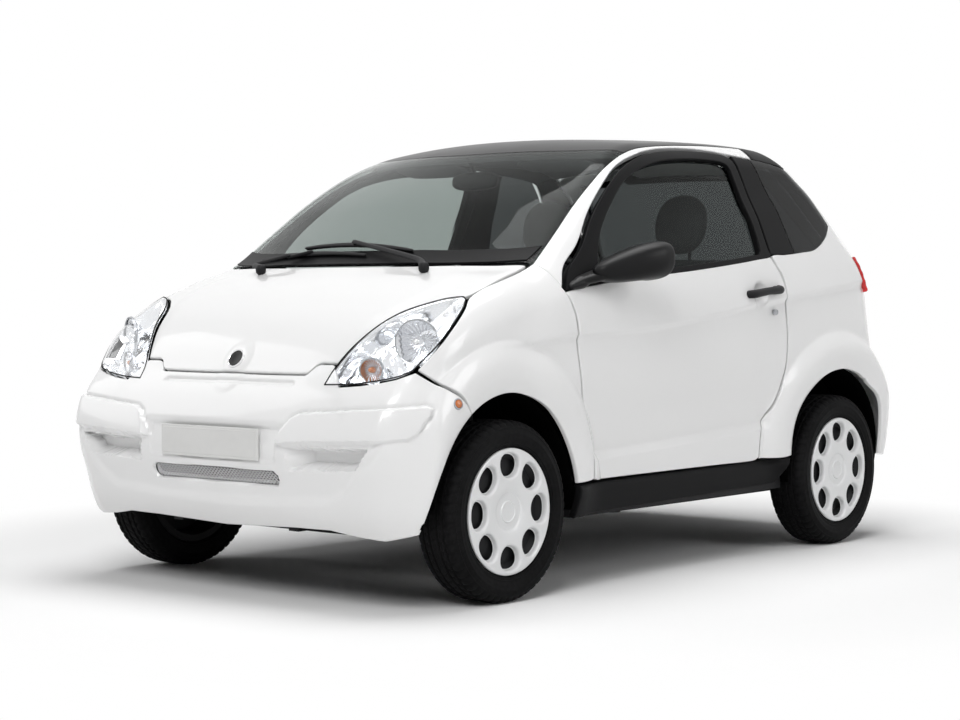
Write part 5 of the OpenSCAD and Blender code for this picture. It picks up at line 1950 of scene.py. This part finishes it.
    def dashboard(self) -> None:
        """The dashboard from the glass to the knees, with binnacle, vents and shelf."""
        x = np.linspace(-606, 606, 90)[:, None]
        face = np.array([(118, 893), (150, 905), (240, 908), (400, 914), (500, 912), (545, 900),
                         (568, 878), (580, 850), (590, 800), (584, 770), (560, 712), (530, 660),
                         (516, 645), (420, 645), (405, 660), (405, 872), (240, 872), (130, 884)])
        t = np.linspace(0, 1, 91)[:-1]
        ring = along(np.column_stack([np.zeros(len(face) + 1), np.vstack([face, face[:1]])]), t)
        y, z = ring[None, :, 1], ring[None, :, 2]
        ahead = step(420, 120, y)
        y = y + SCREEN_BOW * x**2 * ahead
        z = z + 22 * np.exp(-(((x - 300) / 150) ** 4)) * step(430, 500, y) * step(800, 900, z)
        stack = np.exp(-(((np.abs(x) - 20) / 130) ** 4)) * step(860, 820, z) * step(700, 760, z)
        y = y - 26 * stack
        solid = loft(np.stack(np.broadcast_arrays(x, y, z), -1))
        self.shop.piece("dashboard_moulding", solid, DASH, "root", Slot.BLACK, ["dashboard"],
                        weld=True)
        pod = Solid().mound((300, 545, 925), (128, 62, 44), 2.6, 56, 12)
        for k in (-540, -70, 70, 540):
            pod.mound((k, 578, 862), (46, 14, 26), 3.0, 32)
        self.shop.piece("instrument_pod", pod, TRIM_BLACK, "root", Slot.BLACK, weld=True)
        carpet = Solid().block((-600, 410, 231), (600, 1470, 236))
        carpet.block((-465, 1505, 376), (465, 2120, 382))
        self.shop.piece("floor_mats", carpet, CARPET, "root", Slot.BLACK, bevel=1.5)

    def mirror(self) -> None:
        """Interior mirror on a stem from the glass, and two sun visors."""
        body = Solid().mound((0, 700, 1250), (96, 15, 30), 3.0, 56, -8)
        body.tube([(0, 706, 1262), (0, 690, 1290), (0, 672, 1322)], (7, 6, 12), 16, 16)
        self.shop.piece("interior_mirror", body, MIRROR_BLACK, "root", Slot.BLACK, weld=True)
        visors = Solid()
        for side in (1, -1):
            visors.mound((side * 270, 800, 1296), (150, 56, 8), 4.0, 48, -14)
        self.shop.piece("sun_visors", visors, LINING, "root", Slot.BLACK, weld=True)

    def build(self) -> None:
        """Makes the whole cabin."""
        self.seats()
        self.dashboard()
        self.mirror()


@dataclass
class Underbody:
    """Wheel-arch liners, and finishes for the frame's own running gear."""

    shop: Workshop
    frame: dict
    arches: tuple = ((0.0, 207.0, 338.0, 392.0, 428.0, 236.0),
                     (REAR_AXLE, 346.0, 310.0, 272.0, 545.0, 236.0))
    felt: float = 3.0

    def liners(self) -> None:
        """Felt over each wheel: half an ellipse carried along the axle."""
        solid = Solid()
        for y, z, half, high, inside, low in self.arches:
            start = math.asin((low - z) / high)
            a = np.linspace(start, math.pi - start, 60)[:, None]
            x = np.linspace(inside, 698, 8)[None]
            edge = np.stack(np.broadcast_arrays(x, y + half * np.cos(a), z + high * np.sin(a)), -1)
            middle = np.stack(np.broadcast_arrays(edge[:, :1, 0], y, low), -1)
            share = np.linspace(0, 1, 6)[None, ::-1, None]
            fan = edge[:, :1] * (1 - share) + middle * share
            grid = np.concatenate([fan[:, :-1], edge], 1)
            out = np.stack(np.broadcast_arrays(0 * a, np.cos(a), np.sin(a)), -1)
            loop = np.concatenate([grid, (grid + self.felt * (out - (1, 0, 0)))[:, ::-1]], 1)
            solid.sheet(loop, (False, True))
        self.shop.pair("arch_liners", solid, DARK, ROOT, Slot.BLACK, weld=True)

    def build(self) -> None:
        """Makes the liners and finishes the frame's nodes that stay."""
        self.liners()
        finishes = {"chassis": STEEL_BLACK, "front_axle": STEEL_BLACK, "rear_axle": STEEL_BLACK,
                    "knuckle_left": STEEL_BLACK, "knuckle_right": STEEL_BLACK, "engine": CAST,
                    "steering_wheel": TRIM_BLACK, "steering_column": TRIM_BLACK}
        for name, finish in finishes.items():
            for slot in self.frame["nodes"][name].material_slots:
                slot.material = finish.material()


@dataclass
class Studio:
    """Camera, pale floor, soft lamps and a white background."""

    place: tuple[float, float, float] = (4.417, -5.3546, 0.877)
    yaw: float = 40.38
    pitch: float = 1.83
    roll: float = -0.13
    lens: float = 76.88
    light: float = 0.82
    fade: tuple[float, float] = (1500, 2500)
    reach: float = 60.0
    lamps: tuple = (("key", (3.0, -6.5, 6.0), (0, 0, 0.6), 4.0, 350.0),
                    ("side", (7.5, 1.5, 4.0), (0, 0.2, 0.6), 4.0, 140.0),
                    ("fill", (-6.5, -3.5, 4.5), (0, 0, 0.6), 4.0, 80.0),
                    ("top", (0.0, 0.5, 7.0), (0, 0, 0.6), 5.0, 300.0))

    def camera(self) -> None:
        """The camera: right, up and back are the columns of its turn."""
        yaw, pitch, roll = (math.radians(a) for a in (self.yaw, self.pitch, self.roll))
        d = np.array([-math.sin(yaw) * math.cos(pitch), math.cos(yaw) * math.cos(pitch),
                      -math.sin(pitch)])
        right = np.array([math.cos(yaw), math.sin(yaw), 0])
        up = np.cross(right, d)
        across_ = right * math.cos(roll) + up * math.sin(roll)
        upward = -right * math.sin(roll) + up * math.cos(roll)
        data = bpy.data.cameras.new("camera")
        data.lens, data.sensor_width = self.lens, 36.0
        data.clip_end = 200.0
        obj = bpy.data.objects.new("camera", data)
        turn = Matrix(np.column_stack([across_, upward, -d]).tolist()).to_4x4()
        obj.matrix_world = Matrix.Translation(self.place) @ turn
        bpy.context.scene.collection.objects.link(obj)
        bpy.context.scene.camera = obj

    def lamp(self, name: str, place: Sequence, target: Sequence, size: float,
             watts: float) -> None:
        """A square soft lamp that faces a target."""
        data = bpy.data.lights.new(name, "AREA")
        data.shape, data.size, data.energy = "SQUARE", size, watts
        obj = bpy.data.objects.new(name, data)
        back, u, v = frame_of(np.array(place) - np.array(target))
        turn = Matrix(np.column_stack([u, v, back]).tolist()).to_4x4()
        obj.matrix_world = Matrix.Translation(place) @ turn
        bpy.context.scene.collection.objects.link(obj)

    def world(self) -> None:
        """A plain world that camera, gloss and glass rays see as white."""
        world = bpy.data.worlds.new("studio")
        bpy.context.scene.world = world
        sheet = Sheet(world)
        plain = sheet.tree.nodes["Background"]
        plain.inputs["Strength"].default_value = self.light
        white = sheet.node("ShaderNodeBackground", None, {"Color": (1, 1, 1, 1), "Strength": 1.0})
        mix = sheet.node("ShaderNodeMixShader", None,
                         {0: sheet.seen(), 1: plain.outputs[0], 2: white.outputs[0]})
        sheet.fill(sheet.tree.nodes["World Output"].inputs["Surface"], mix.outputs[0])

    def floor(self) -> None:
        """A pale floor that keeps the car's shadow and fades into the white.

        The share of white is a smooth step over the distance from the middle, only
        for camera, gloss and transmission rays.
        """
        mesh = bpy.data.meshes.new("floor")
        far = self.reach
        corners = [(-far, -far, 0), (far, -far, 0), (far, far, 0), (-far, far, 0)]
        mesh.from_pydata(corners, [], [(0, 1, 2, 3)])
        obj = bpy.data.objects.new("floor", mesh)
        bpy.context.scene.collection.objects.link(obj)
        sheet = Sheet(bpy.data.materials.new("pale_floor"))
        sheet.fill(sheet.shader.inputs["Base Color"],
                   sheet.blend(sheet.noise(600.0), (0.93, 0.93, 0.93), (0.94, 0.94, 0.94)))
        sheet.shader.inputs["Roughness"].default_value = 0.9
        far = (sheet.axis("X") * sheet.axis("X") + sheet.axis("Y") * sheet.axis("Y")) ** 0.5
        white = sheet.node("ShaderNodeEmission", None, {"Color": (1, 1, 1, 1), "Strength": 1.0})
        mix = sheet.node("ShaderNodeMixShader", None,
                         {0: sheet.seen() * far.ease(*self.fade), 1: sheet.shader.outputs[0],
                          2: white.outputs[0]})
        sheet.fill(sheet.tree.nodes["Material Output"].inputs["Surface"], mix.outputs[0])
        mesh.materials.append(sheet.owner)

    def build(self) -> None:
        """Makes the studio."""
        bpy.context.scene.view_settings.view_transform = "Standard"
        self.camera()
        self.world()
        self.floor()
        for lamp in self.lamps:
            self.lamp(*lamp)


def main() -> None:
    """Builds the car on its frame."""
    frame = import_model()
    shop = Workshop()
    for part in (FrontEnd(shop), Headlight(shop), Upper(shop), Tail(shop), Door(shop),
                 Wheel(shop), Wipers(shop), Cabin(shop), Underbody(shop, frame), Studio()):
        part.build()
        log.info("%s done", type(part).__name__)
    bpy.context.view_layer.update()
    log.info("%d pieces", shop.made)


if __name__ == "__main__":
    logging.basicConfig(level=logging.INFO, format="%(levelname)s %(message)s")
    main()
